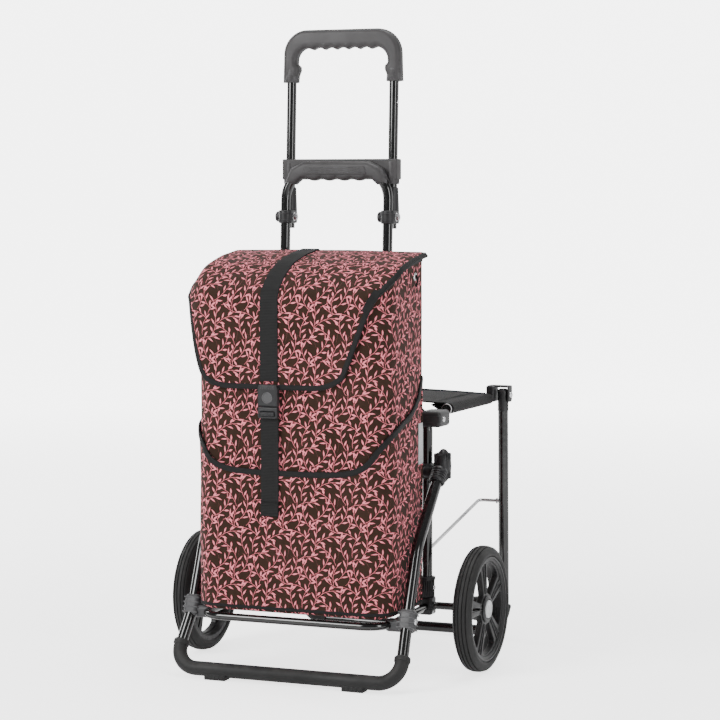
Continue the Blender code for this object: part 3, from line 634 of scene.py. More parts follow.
@dataclass(frozen=True)
class Print:
    """The repeat of the leaf print."""

    repeat: float = 0.095
    shrink: float = 0.88          # of the printed size against the sizes below
    stem: float = 0.00030         # half the stem's width
    leaf_half_width: float = 0.00150
    leaf_step: float = 0.0135     # between leaves on one side
    leaf_angle: float = math.radians(43)
    stalk: float = 0.0030
    softness: float = 0.00018
    stalk_half_width: float = 0.0003
    bare_base: float = 0.0015     # of a stem, before its first leaf
    bare_tip: float = 0.0035      # of a stem, after its last side leaf
    sprigs: tuple[Sprig, ...] = (
        Sprig(0.012, 0.016, 62, 0.042, 13.0), Sprig(0.036, 0.006, 118, 0.038, -12.0),
        Sprig(0.064, 0.018, 44, 0.044, 12.0), Sprig(0.088, 0.006, 80, 0.036, -14.0),
        Sprig(0.034, 0.036, 14, 0.034, -14.0), Sprig(0.080, 0.042, 132, 0.040, 12.0),
        Sprig(0.008, 0.054, 104, 0.038, -12.0), Sprig(0.050, 0.052, 70, 0.042, 13.0),
        Sprig(0.026, 0.076, 150, 0.036, 13.0), Sprig(0.072, 0.070, 24, 0.040, -12.0),
        Sprig(0.054, 0.088, 100, 0.030, 15.0), Sprig(0.090, 0.084, 164, 0.028, -15.0),
        Sprig(0.029, 0.056, 76, 0.030, -14.0), Sprig(0.021, 0.094, 58, 0.020, 16.0),
        Sprig(0.073, 0.003, 28, 0.018, 16.0), Sprig(0.042, 0.086, 64, 0.016, -16.0))

    def make_sprig(self) -> None:
        """The group for one sprig: how far a point is inside its stem and leaves, in metres."""
        half_leaf = self.leaf_half_width
        wiring, come, go = effect(
            "Sprig", {"Vector": ORIGIN, "Middle": ORIGIN, "Heading": 0.0, "Length": 0.04, "Bend": 8.0,
                      "Leaf": 0.0118}, {"Inside": NUMBER})
        reach, length = self.repeat / 2, come["Length"]
        apart = wiring.vector("SUBTRACT", come["Vector"], come["Middle"]).outputs[0]
        near = wiring.vector("WRAP", apart, (reach, reach, 1.0), (-reach, -reach, -1.0)).outputs[0]
        turned = wiring.add("ShaderNodeVectorRotate", {"Vector": near, "Angle": come["Heading"]},
                            rotation_type="Z_AXIS")
        parts = wiring.add("ShaderNodeSeparateXYZ", {0: turned.outputs[0]}).outputs
        bow = wiring.calc("SUBTRACT", wiring.calc("MULTIPLY", parts[0], parts[0]),
                          wiring.calc("MULTIPLY", wiring.calc("MULTIPLY", length, length), 1 / 12))
        off = wiring.calc("SUBTRACT", parts[1], wiring.calc("MULTIPLY", come["Bend"], bow))
        along = wiring.calc("ADD", parts[0], wiring.calc("MULTIPLY", length, 0.5))
        away = wiring.calc("ABSOLUTE", off)
        left = wiring.calc("LESS_THAN", off, 0.0)
        staggered = wiring.calc("MULTIPLY_ADD", left, self.leaf_step / 2, along)
        local = wiring.calc("FLOORED_MODULO", staggered, self.leaf_step)
        base = wiring.calc("SUBTRACT", along, local)
        cosine, sine = math.cos(self.leaf_angle), math.sin(self.leaf_angle)
        lengthwise = wiring.calc("MULTIPLY_ADD", local, cosine, wiring.calc("MULTIPLY", away, sine))
        crosswise = wiring.calc("MULTIPLY_ADD", away, cosine, wiring.calc("MULTIPLY", local, -sine))
        thin = wiring.calc("ABSOLUTE", crosswise)
        leaf = come["Leaf"]
        here = wiring.calc("SUBTRACT",
                           wiring.calc("DIVIDE", wiring.calc("SUBTRACT", lengthwise, self.stalk),
                                                   wiring.calc("MULTIPLY", leaf, 0.5)), 1.0)
        blade = wiring.calc("SUBTRACT", self.blade(wiring, here, half_leaf), thin)
        room = wiring.calc("MINIMUM", wiring.calc("SUBTRACT", base, self.bare_base),
                           wiring.calc("SUBTRACT", wiring.calc("SUBTRACT", length, self.bare_tip), base))
        stalk = wiring.calc("MINIMUM", wiring.calc("SUBTRACT", self.stalk_half_width, thin),
                            wiring.calc("SUBTRACT", self.stalk, lengthwise))
        leafy = wiring.calc("MINIMUM", wiring.calc("MAXIMUM", blade, stalk), room)
        stem = wiring.calc("MINIMUM", wiring.calc("SUBTRACT", self.stem, away),
                           wiring.calc("MINIMUM", along, wiring.calc("SUBTRACT", length, along)))
        tip = wiring.calc("SUBTRACT", wiring.calc("DIVIDE", wiring.calc("SUBTRACT", along, length),
                                                  wiring.calc("MULTIPLY", leaf, 0.5)), 0.9)
        end = wiring.calc("SUBTRACT", self.blade(wiring, tip, half_leaf * 1.05), away)
        wiring.feed(go["Inside"], wiring.calc("MAXIMUM", wiring.calc("MAXIMUM", leafy, stem), end))

    def blade(self, wiring: Wiring, here: Any, half: float) -> Any:
        """Half the width of a pointed leaf at a place from -1 to 1 along it."""
        oval = wiring.calc("SUBTRACT", 1.0, wiring.calc("MULTIPLY", here, here))
        lean = wiring.calc("MAXIMUM", wiring.calc("MULTIPLY_ADD", here, -0.28, 1.0), 0.0)
        return wiring.calc("MULTIPLY", wiring.calc("MULTIPLY", oval, lean), half)

    def make(self) -> None:
        """The whole print: a mask of the leaves."""
        self.make_sprig()
        wiring, come, go = effect("Leaf Print", {"Vector": ORIGIN}, {"Mask": NUMBER})
        wander = wiring.add("ShaderNodeTexNoise",
                            {"Vector": come["Vector"], "Scale": 160.0, "Detail": 1.0})
        sway = wiring.vector("SCALE", wiring.vector("SUBTRACT", wander.outputs["Color"],
                                                    (0.5, 0.5, 0.5)).outputs[0])
        sway.inputs["Scale"].default_value = 0.0014
        moved = wiring.vector("ADD", come["Vector"], sway.outputs[0]).outputs[0]
        smaller = wiring.vector("SCALE", moved)
        smaller.inputs["Scale"].default_value = 1 / self.shrink
        place = smaller.outputs[0]
        whole = None
        for sprig in self.sprigs:
            inside = wiring.group(
                "Sprig", vector=place, middle=(sprig.across, sprig.up, 0.0),
                heading=-math.radians(sprig.heading), length=sprig.length, bend=sprig.bend,
                leaf=sprig.leaf)["Inside"]
            whole = inside if whole is None else wiring.calc("MAXIMUM", whole, inside)
        wiring.feed(go["Mask"], wiring.spread(whole, -self.softness, self.softness))


def make_effects() -> None:
    """Build every shared effect once."""
    make_grain()
    make_edge_wear()
    make_dust()
    make_weave()
    Print().make()


@dataclass(frozen=True)
class Finish:
    """A finish: its name, the record's slot it belongs to, and its plain values."""

    title: str
    slot: Slot
    colour: Colour
    roughness: float
    metallic: float = 0.0

    def material(self) -> bpy.types.Material:
        """The finish's material, built the first time it is asked for."""
        known = bpy.data.materials.get(self.title)
        if known:
            return known
        material = bpy.data.materials.new(self.title)
        material.use_nodes = True
        wiring = Wiring(material.node_tree)
        shader = material.node_tree.nodes["Principled BSDF"]
        shader.inputs["Metallic"].default_value = self.metallic
        shader.inputs["Roughness"].default_value = self.roughness
        material.diffuse_color = (*self.colour, 1.0)
        self.wire(wiring, shader.inputs)
        return material

    def wire(self, wiring: Wiring, surface: Any) -> None:
        """Wire the finish's own nodes to the surface."""
        raise NotImplementedError

    def place(self, wiring: Wiring) -> Any:
        """The point of the object, in metres."""
        return wiring.add("ShaderNodeTexCoord").outputs["Object"]

    def flat(self, wiring: Wiring) -> Any:
        """The point of the flat pattern, in metres."""
        return wiring.add("ShaderNodeUVMap", uv_map="Flat").outputs[0]

    def relief(self, wiring: Wiring, surface: Any, height: Any, distance: float,
               strength: float = 1.0) -> None:
        """Feed a height to the surface's normal."""
        feeds = {"Height": height, "Distance": distance, "Strength": strength}
        wiring.feed(surface["Normal"], wiring.add("ShaderNodeBump", feeds).outputs[0])

    def worn(self, wiring: Wiring, place: Any, amount: float) -> tuple[Any, Any]:
        """The edge wear and dust masks at a place."""
        facts = wiring.add("ShaderNodeNewGeometry").outputs
        edge = wiring.group("Edge Wear", vector=place, pointiness=facts["Pointiness"], amount=amount)[0]
        dust = wiring.group("Dust", vector=place, normal=facts["Normal"], amount=amount * 0.5)[0]
        return edge, dust


@dataclass(frozen=True)
class GlossPaint(Finish):
    """Sprayed gloss paint on steel tube."""

    def wire(self, wiring: Wiring, surface: Any) -> None:
        """Orange peel, faint dust and thin rubbed edges."""
        place = self.place(wiring)
        edge, dust = self.worn(wiring, place, 0.14)
        grain = wiring.group("Grain", vector=place, scale=420.0)
        base = wiring.mix(dust, self.colour, (0.10, 0.10, 0.10))
        wiring.feed(surface["Base Color"], wiring.mix(edge, base, (0.16, 0.16, 0.16)))
        gloss = wiring.spread(grain["Patches"], 0.0, 1.0, self.roughness, self.roughness + 0.04)
        wiring.feed(surface["Roughness"], wiring.calc("ADD", gloss, wiring.calc("MULTIPLY", dust, 0.4)))
        surface["Coat Weight"].default_value = 0.35
        surface["Coat Roughness"].default_value = 0.06
        self.relief(wiring, surface, grain["Height"], 0.00004, 0.5)


@dataclass(frozen=True)
class MouldedPlastic(Finish):
    """Moulded plastic with a spark-eroded grain."""

    grain: float = 1100.0
    depth: float = 0.00008
    rubbed: Colour = (0.20, 0.20, 0.21)

    def wire(self, wiring: Wiring, surface: Any) -> None:
        """Grain, uneven gloss, dust and pale rubbed edges."""
        place = self.place(wiring)
        edge, dust = self.worn(wiring, place, 0.3)
        grain = wiring.group("Grain", vector=place, scale=self.grain)
        deeper = tuple(c * 0.82 for c in self.colour)
        base = wiring.mix(grain["Patches"], self.colour, deeper)
        base = wiring.mix(dust, base, (0.22, 0.21, 0.20))
        wiring.feed(surface["Base Color"], wiring.mix(edge, base, self.rubbed))
        wiring.feed(surface["Roughness"], wiring.spread(
            grain["Patches"], 0.0, 1.0, self.roughness - 0.06, self.roughness + 0.06))
        surface["Specular IOR Level"].default_value = 0.34
        self.relief(wiring, surface, grain["Height"], self.depth, 0.6)


@dataclass(frozen=True)
class Steel(Finish):
    """Bright plated steel with fine drawn lines."""

    def wire(self, wiring: Wiring, surface: Any) -> None:
        """Drawn lines and a few dull spots."""
        place = self.place(wiring)
        drawn = wiring.add("ShaderNodeMapping", {"Vector": place, "Scale": (2600.0, 300.0, 2600.0)})
        lines = wiring.speckle(drawn.outputs[0], 1.0, 2.0)
        spots = wiring.spread(wiring.speckle(place, 90.0, 4.0, 0.7), 0.5, 0.75)
        wiring.feed(surface["Base Color"],
                    wiring.mix(spots, self.colour, tuple(c * 0.7 for c in self.colour)))
        rough = wiring.spread(lines, 0.3, 0.7, self.roughness - 0.06, self.roughness + 0.08)
        wiring.feed(surface["Roughness"], wiring.calc("ADD", rough, wiring.calc("MULTIPLY", spots, 0.1)))
        self.relief(wiring, surface, lines, 0.00002, 0.4)


@dataclass(frozen=True)
class PrintedCanvas(Finish):
    """Coated canvas printed with leafy sprigs."""

    ink: Colour = (0.86, 0.235, 0.285)
    deep_ink: Colour = (0.74, 0.175, 0.22)

    def wire(self, wiring: Wiring, surface: Any) -> None:
        """The print over a dark ground, seen through the weave."""
        flat, place = self.flat(wiring), self.place(wiring)
        leaves = wiring.group("Leaf Print", vector=flat)["Mask"]
        weave = wiring.group("Weave", vector=flat, threads=1500.0)
        fade = wiring.spread(wiring.speckle(place, 9.0, 4.0, 0.6), 0.35, 0.65)
        ground = wiring.mix(weave["Tint"], self.colour, tuple(c * 0.72 for c in self.colour))
        ink = wiring.mix(wiring.calc("MULTIPLY", weave["Tint"], 0.8), self.ink, self.deep_ink)
        cover = wiring.calc("MULTIPLY", leaves, wiring.spread(weave["Height"], 0.0, 0.5, 0.86, 1.0))
        printed = wiring.mix(cover, ground, ink)
        faded = wiring.mix(wiring.calc("MULTIPLY", fade, 0.04), printed, (0.20, 0.10, 0.09))
        wiring.feed(surface["Base Color"], faded)
        rough = wiring.spread(leaves, 0.0, 1.0, self.roughness, self.roughness - 0.10)
        wiring.feed(surface["Roughness"], rough)
        surface["Sheen Weight"].default_value = 0.03
        surface["Sheen Roughness"].default_value = 0.5
        surface["Specular IOR Level"].default_value = 0.14
        raised = wiring.calc("ADD", weave["Height"], wiring.calc("MULTIPLY", leaves, 0.35))
        creases = wiring.speckle(place, 26.0, 4.0, 0.6)
        height = wiring.calc("MULTIPLY_ADD", creases, 3.0, raised)
        self.relief(wiring, surface, height, 0.00022, 0.7)


@dataclass(frozen=True)
class WovenCloth(Finish):
    """Plain dark woven cloth."""

    threads: float = 1100.0
    sheen: float = 0.05

    def wire(self, wiring: Wiring, surface: Any) -> None:
        """The weave, slubs and lint."""
        flat, place = self.flat(wiring), self.place(wiring)
        weave = wiring.group("Weave", vector=flat, threads=self.threads)
        base = wiring.mix(weave["Tint"], self.colour, tuple(c * 0.66 for c in self.colour))
        lint = wiring.spread(wiring.speckle(place, 380.0, 3.0, 0.7), 0.66, 0.8)
        wiring.feed(surface["Base Color"], wiring.mix(
            wiring.calc("MULTIPLY", lint, 0.3), base, (0.16, 0.15, 0.15)))
        wiring.feed(surface["Roughness"], wiring.spread(
            weave["Height"], 0.0, 0.9, self.roughness, self.roughness - 0.14))
        surface["Sheen Weight"].default_value = self.sheen
        surface["Specular IOR Level"].default_value = 0.25
        surface["Sheen Roughness"].default_value = 0.4
        creases = wiring.speckle(place, 34.0, 4.0, 0.6)
        height = wiring.calc("MULTIPLY_ADD", creases, 2.5, weave["Height"])
        self.relief(wiring, surface, height, 0.00025, 0.8)


@dataclass(frozen=True)
class Ribbed(Finish):
    """Webbing or tape with ribs across its run."""

    ribs: float = 430.0

    def wire(self, wiring: Wiring, surface: Any) -> None:
        """Cross ribs, side selvedge and thread tint, with a painted highlight on the rib and cord crowns.
        """
        flat = self.flat(wiring)
        parts = wiring.add("ShaderNodeSeparateXYZ", {0: flat}).outputs
        rib = wiring.calc("ABSOLUTE",
                          wiring.calc("SINE", wiring.calc("MULTIPLY", parts[1], self.ribs * math.pi)))
        cord = wiring.calc("ABSOLUTE",
                           wiring.calc("SINE", wiring.calc("MULTIPLY", parts[0], 900 * math.pi)))
        height = wiring.calc("MULTIPLY_ADD", cord, 0.3, rib)
        weave = wiring.group("Weave", vector=flat, threads=1300.0)
        base = wiring.mix(weave["Tint"], self.colour, tuple(c * 0.6 for c in self.colour))
        # Painted highlight: the raised rib and cord crowns are mixed towards a paler grey.
        wiring.feed(surface["Base Color"], wiring.mix(
            wiring.spread(height, 0.7, 1.3, 0.0, 0.35), base, (0.012, 0.0118, 0.012)))
        wiring.feed(surface["Roughness"], wiring.spread(
            height, 0.2, 1.3, self.roughness, self.roughness - 0.2))
        surface["Specular IOR Level"].default_value = 0.25
        self.relief(wiring, surface, height, 0.0003, 0.8)


@dataclass(frozen=True)
class Reflective(Finish):
    """A small silver reflecting patch with a honeycomb."""

    def wire(self, wiring: Wiring, surface: Any) -> None:
        """Cells under a smooth face."""
        flat = self.flat(wiring)
        cells = wiring.add("ShaderNodeTexVoronoi", {"Vector": flat, "Scale": 420.0},
                           feature="DISTANCE_TO_EDGE").outputs[0]
        line = wiring.spread(cells, 0.02, 0.10)
        wiring.feed(surface["Base Color"],
                    wiring.mix(line, tuple(c * 0.6 for c in self.colour), self.colour))
        wiring.feed(surface["Roughness"], wiring.spread(line, 0.0, 1.0, 0.5, self.roughness))
        self.relief(wiring, surface, line, 0.00005, 0.5)


PAINT = GlossPaint("Gloss black paint", Slot.PAINT, (0.0030, 0.0030, 0.0031), 0.10)
PLASTIC = MouldedPlastic("Dark moulded plastic", Slot.PLASTIC, (0.012, 0.012, 0.013), 0.42)
GREY_PLASTIC = MouldedPlastic("Grey moulded plastic", Slot.PLASTIC, (0.060, 0.060, 0.062), 0.46,
                              rubbed=(0.26, 0.26, 0.27))
RIM_PLASTIC = MouldedPlastic("Wheel plastic", Slot.PLASTIC, (0.010, 0.010, 0.0105), 0.40)
GRIP = MouldedPlastic("Grip plastic", Slot.GRIP, (0.034, 0.032, 0.033), 0.50, grain=900.0,
                      depth=0.00012)
FITTING = MouldedPlastic("Fitting plastic", Slot.GRIP, (0.018, 0.018, 0.019), 0.45)
RUBBER = MouldedPlastic("Black rubber", Slot.RUBBER, (0.010, 0.010, 0.010), 0.62, grain=700.0,
                        rubbed=(0.06, 0.06, 0.06))
TYRE = MouldedPlastic("Tyre rubber", Slot.TYRE, (0.009, 0.009, 0.009), 0.62, grain=800.0,
                      rubbed=(0.045, 0.045, 0.045))
STEEL = Steel("Bright steel", Slot.STEEL, (0.66, 0.66, 0.67), 0.24, 1.0)
SILVER = MouldedPlastic("Silver plastic", Slot.SILVER, (0.56, 0.57, 0.58), 0.30, grain=1500.0,
                        depth=0.00003, rubbed=(0.75, 0.75, 0.75))
CANVAS = PrintedCanvas("Printed canvas", Slot.CANVAS, (0.0260, 0.0120, 0.0062), 0.80)
LINING = WovenCloth("Bag lining", Slot.CANVAS, (0.022, 0.022, 0.024), 0.82, threads=1300.0)
SEAT_CLOTH = WovenCloth("Sling cloth", Slot.SEAT, (0.0095, 0.0090, 0.0092), 0.88, threads=900.0)
WEBBING = Ribbed("Black webbing", Slot.WEBBING, (0.0024, 0.0024, 0.0025), 0.78)
TAPE = Ribbed("Edge tape", Slot.WEBBING, (0.0024, 0.0024, 0.0025), 0.74, ribs=620.0)
PATCH = Reflective("Reflecting patch", Slot.SILVER, (0.48, 0.49, 0.50), 0.28)


# ---------------------------------------------------------------- tubular frame
@dataclass
class TubeFrame:
    """The welded and bent tubes of the chassis, and the platform rod."""

    wheel_x: float = 0.2425
    rod_radius: float = 0.006
    frame_radius: float = 0.008
    leg_radius: float = 0.009
    seat_frame_x: float = 0.1545
    seat_frame_y: float = -0.0085
    seat_frame_top: float = 0.420
    handle_x: float = 0.0887
    handle_top: float = 0.796
    axle_z: float = 0.100

    @staticmethod
    def handle_y(z: float) -> float:
        """Y of the leaning handle frame's centre line at a height."""
        return -0.0432 + 0.04 * z

    def pull_point(self, x: float, z: float) -> Vector:
        """A point on a pull tube's centre line, behind the handle frame."""
        return Vector((x, self.handle_y(z) + 0.0175, z))

    def platform_route(self) -> Route:
        """The rod from one axle stub round the bag's platform to the other."""
        return mirrored_route(
            [(self.wheel_x + 0.0025, 0, self.axle_z), (0.155, 0, self.axle_z), (0.155, -0.200, 0.0965)],
            [0.018, 0.036])

    def seat_frame_route(self) -> Route:
        """The seat frame's upright inverted U."""
        x, y = self.seat_frame_x, self.seat_frame_y
        return mirrored_route([(x, y, 0.112), (x, y, self.seat_frame_top)], [0.040])

    def handle_frame_route(self) -> Route:
        """The handle frame's leaning inverted U."""
        low = 0.126
        return mirrored_route([(self.handle_x, self.handle_y(low), low),
                               (self.handle_x, self.handle_y(self.handle_top), self.handle_top)], [0.050])

    def leg_route(self) -> Route:
        """The front leg from its top right end round the floor bar to its top left end."""
        return mirrored_route(
            [(0.182, -0.0175, 0.3295), (0.1815, -0.125, 0.2105), (0.182, -0.168, 0.102),
             (0.187, -0.2000, 0.0500), (0.188, -0.2200, 0.0155)], [0.10, 0.20, 0.12, 0.0340])

    def build(self) -> None:
        """Build every tube."""
        tubes = (("platform_rod", self.platform_route(), self.rod_radius),
                 ("seat_frame_tube", self.seat_frame_route(), self.frame_radius),
                 ("handle_frame_tube", self.handle_frame_route(), self.frame_radius),
                 ("front_leg_tube", self.leg_route(), self.leg_radius))
        for name, route, radius in tubes:
            Shape().tube(route, radius).publish(f"{name}_painted", PAINT, "chassis", [name])
        bar = Shape().block((-0.142, -0.0288, 0.1255), (0.142, -0.0248, 0.1500), 0.0012)
        for side in Side:
            bar.bolt((side.value * 0.128, -0.0288, 0.138), (0, -1, 0), 0.0042, 0.0022)
            bar.bolt((side.value * self.handle_x, -0.0288, 0.138), (0, -1, 0), 0.0040, 0.0022)
        bar.publish("lower_crossbar_painted", PAINT, "chassis", ["lower_crossbar"])


def ridged_ring(radius: float, depth: float, ridges: int) -> list[Flat]:
    """A circle with shallow grip ridges."""
    steps = ridges * 6
    points = []
    for index in range(steps):
        angle = math.tau * index / steps
        reach = radius - depth * (0.5 - 0.5 * math.cos(angle * ridges)) ** 2
        points.append((reach * math.cos(angle), reach * math.sin(angle)))
    return points


@dataclass
class FrameFittings:
    """The moulded sockets, clips and brackets that join the tubes on both sides."""

    tubes: TubeFrame
    socket_radius: float = 0.0118

    def build(self) -> None:
        """Build the fittings of both sides."""
        for side in Side:
            self.socket(side)
            self.clip(side)
            self.bracket(side)
            self.leg_joint(side)
            self.hinge_block(side)

    def socket(self, side: Side) -> None:
        """The ridged socket on the platform rod that holds the seat frame's foot."""
        s, x, y = side.value, side.value * self.tubes.seat_frame_x, self.tubes.seat_frame_y
        shape = Shape()
        shape.plate([ridged_ring(self.socket_radius, 0.0009, 18), arc(0.0083, 0, math.tau * 35 / 36, 35)],
                    0.0300, 0.0010, FACE_UP, (x, y, 0.1300))
        shape.lathe([(0, 0.0083), (0, 0.0126), (0.0014, 0.0130), (0.0038, 0.0130), (0.0050, 0.0122),
                     (0.0050, 0.0083)], (x, y, 0.1425), (0, 0, 1), 40, ring=True)
        shape.block((x - 0.0112, y - 0.0122, 0.0868), (x + 0.0112, y + 0.0118, 0.1150), 0.0035, 4)
        shape.block((x - s * 0.0085 - 0.0034, -0.0300, 0.1275),
                    (x - s * 0.0085 + 0.0034, y, 0.1445), 0.0016)
        shape.block((x - 0.0060, y + 0.0090, 0.0930), (x + 0.0060, y + 0.0128, 0.1390), 0.0018,
                    turn=Matrix.Rotation(0.05 * s, 4, "Y"))
        for drop in (0.0, 0.0036, 0.0072):
            shape.block((x - 0.0117, y - 0.0127, 0.0945 + drop),
                        (x + 0.0117, y + 0.0123, 0.0960 + drop), 0.0005, 2)
        shape.publish(f"upright_socket_{side.hand}_moulding", PLASTIC, "chassis",
                      [f"upright_socket_{side.hand}"])
        screws = Shape().bolt((x + s * 0.0112, y + 0.001, 0.1300), (s, 0, 0), 0.0034, 0.0018)
        screws.bolt((x + s * 0.0109, y - 0.0045, 0.0915), (s, 0, 0), 0.0030, 0.0016)
        screws.publish(f"socket_screws_{side.hand}", STEEL, "chassis")

    def clip(self, side: Side) -> None:
        """The clip where the handle frame crosses the seat frame's top bar."""
        x, z = side.value * self.tubes.handle_x, self.tubes.seat_frame_top
        middle = (self.tubes.handle_y(z) + self.tubes.seat_frame_y) / 2
        shape = Shape().block((x - 0.0125, middle - 0.0200, z - 0.0110),
                              (x + 0.0125, middle + 0.0200, z + 0.0110), 0.0050, 5)
        shape.block((x - 0.0132, middle - 0.0080, z - 0.0050),
                    (x + 0.0132, middle + 0.0080, z + 0.0050), 0.0020)
        shape.publish(f"crossbar_clip_{side.hand}_moulding", PLASTIC, "chassis",
                      [f"crossbar_clip_{side.hand}"])
        Shape().bolt((x, middle - 0.0200, z), (0, -1, 0), 0.0040, 0.0020).publish(
            f"clip_screw_{side.hand}", STEEL, "chassis")

    def bracket(self, side: Side) -> None:
        """The ribbed half shell that ties the platform rod to the front leg."""
        s = side.value
        x = s * 0.1822
        lean = Matrix.Rotation(math.radians(-21), 4, "X")
        shape = Shape()
        shape.block((x - 0.0125, -0.1785, 0.0860), (x + 0.0125, -0.1535, 0.1215), 0.0070, 6, lean)
        for step in range(4):
            z = 0.0925 + 0.0072 * step
            y = -0.1660 + 0.38 * (z - 0.1035)
            shape.block((x - 0.0131, y - 0.0132, z - 0.0011), (x + 0.0131, y + 0.0132, z + 0.0011),
                        0.0008, 2, lean)
        shape.block((s * 0.1475, -0.1770, 0.0868), (s * 0.1760, -0.1560, 0.1062), 0.0060, 5)
        shape.block((s * 0.1500, -0.1780, 0.0925), (s * 0.1560, -0.1550, 0.1005), 0.0020, 3)
        shape.publish(f"front_bracket_{side.hand}_moulding", GREY_PLASTIC, "chassis",
                      [f"front_bracket_{side.hand}"])
        Shape().bolt((s * 0.1945, -0.1660, 0.1030), (s, 0, 0), 0.0048, 0.0026).publish(
            f"bracket_screw_{side.hand}", STEEL, "chassis")

    def leg_joint(self, side: Side) -> None:
        """The joint at the front leg's top: a boss on the upright, a ridged collar and an oval cap."""
        s, x, y = side.value, side.value * self.tubes.seat_frame_x, self.tubes.seat_frame_y
        leg_up = (Vector((0, -0.0175, 0.3295)) - Vector((0, -0.125, 0.2105))).normalized()
        collar = Vector((s * 0.18195, -0.0300, 0.3157))
        shape = Shape()
        profile = [(-0.018, 0.0095), (-0.018, 0.0118), (-0.0165, 0.0126)]
        for ridge in range(4):
            start = -0.0150 + 0.0042 * ridge
            profile += [(start, 0.0131), (start + 0.0020, 0.0131), (start + 0.0024, 0.0122),
                        (start + 0.0038, 0.0122)]
        profile += [(0.0030, 0.0132), (0.0070, 0.0126), (0.0075, 0.0095)]
        shape.lathe(profile, collar, leg_up, 40, ring=True)
        shape.ball((s * 0.1845, -0.0170, 0.3270), (0.0125, 0.0150, 0.0270))
        for step in range(-3, 4):
            place, swell = -0.0170 + 0.0036 * step, 0.0122 * math.cos(step * 0.30)
            shape.block((s * 0.1845 - 0.0122, place - 0.0007, 0.3070),
                        (s * 0.1845 + swell, place + 0.0007, 0.3470), 0.0006, 2)
        shape.lathe([(0, 0), (0, 0.0085), (0.003, 0.0100), (0.024, 0.0100), (0.027, 0.0090), (0.027, 0)],
                    (x, -0.0215, 0.3170), (s, 0, 0), 36)
        shape.block((x - 0.0114, y - 0.0137, 0.3050), (x + 0.0114, y + 0.0120, 0.3290), 0.0050, 5)
        shape.publish(f"leg_top_joint_{side.hand}_moulding", PLASTIC, "chassis",
                      [f"leg_top_joint_{side.hand}"])

    def hinge_block(self, side: Side) -> None:
        """The block on the upright that carries the seat's front hinge."""
        s = side.value
        shape = Shape().block((s * 0.1440, -0.0205, 0.3870), (s * 0.1800, 0.0275, 0.4125), 0.0060, 6)
        shape.block((s * 0.1440, 0.0100, 0.3890), (s * 0.1540, 0.0480, 0.4105), 0.0035, 5)
        shape.block((s * 0.1500, -0.0210, 0.3925), (s * 0.1806, 0.0150, 0.4065), 0.0030, 4)
        shape.publish(f"seat_hinge_block_{side.hand}_moulding", FITTING, "chassis",
                      [f"seat_hinge_block_{side.hand}"])
        Shape().bolt((s * 0.1806, -0.0060, 0.3995), (s, 0, 0), 0.0042, 0.0022).publish(
            f"hinge_block_screw_{side.hand}", STEEL, "chassis")


@dataclass
class FrontFeet:
    """The rubber sleeve over the floor bar and its two pads."""

    tubes: TubeFrame
    radius: float = 0.0113
    inner: float = 0.0096
    top: float = 0.056
    pad_x: float = 0.116

    def build(self) -> None:
        """Build the sleeve and the pads."""
        route = [p for p in self.tubes.leg_route() if p.z < self.top]
        sleeve = Shape().tube(route, self.radius, 32)
        for at, ahead in ((route[0], route[1]), (route[-1], route[-2])):
            axis = (at - ahead).normalized()
            sleeve.lathe([(-0.0080, self.inner), (-0.0080, self.radius + 0.0002),
                          (-0.0070, self.radius + 0.0013), (-0.0010, self.radius + 0.0013),
                          (0.0006, self.radius), (0.0006, self.inner)], at, axis, 40, ring=True)
        sleeve.publish("foot_sleeve_moulding", RUBBER, "chassis", ["foot_sleeve"])
        middle = route[len(route) // 2]
        for side in Side:
            x = side.value * self.pad_x
            pad = Shape().block((x - 0.018, middle.y - 0.0095, 0.0),
                                (x + 0.018, middle.y + 0.0095, 0.0105), 0.0016, 3)
            for step in range(-2, 3):
                pad.block((x + 0.0068 * step - 0.0013, middle.y - 0.0101, 0.0006),
                          (x + 0.0068 * step + 0.0013, middle.y + 0.0101, 0.0082), 0.0006, 2)
            pad.publish(f"foot_pad_{side.hand}_moulding", RUBBER, "chassis", [f"foot_pad_{side.hand}"])


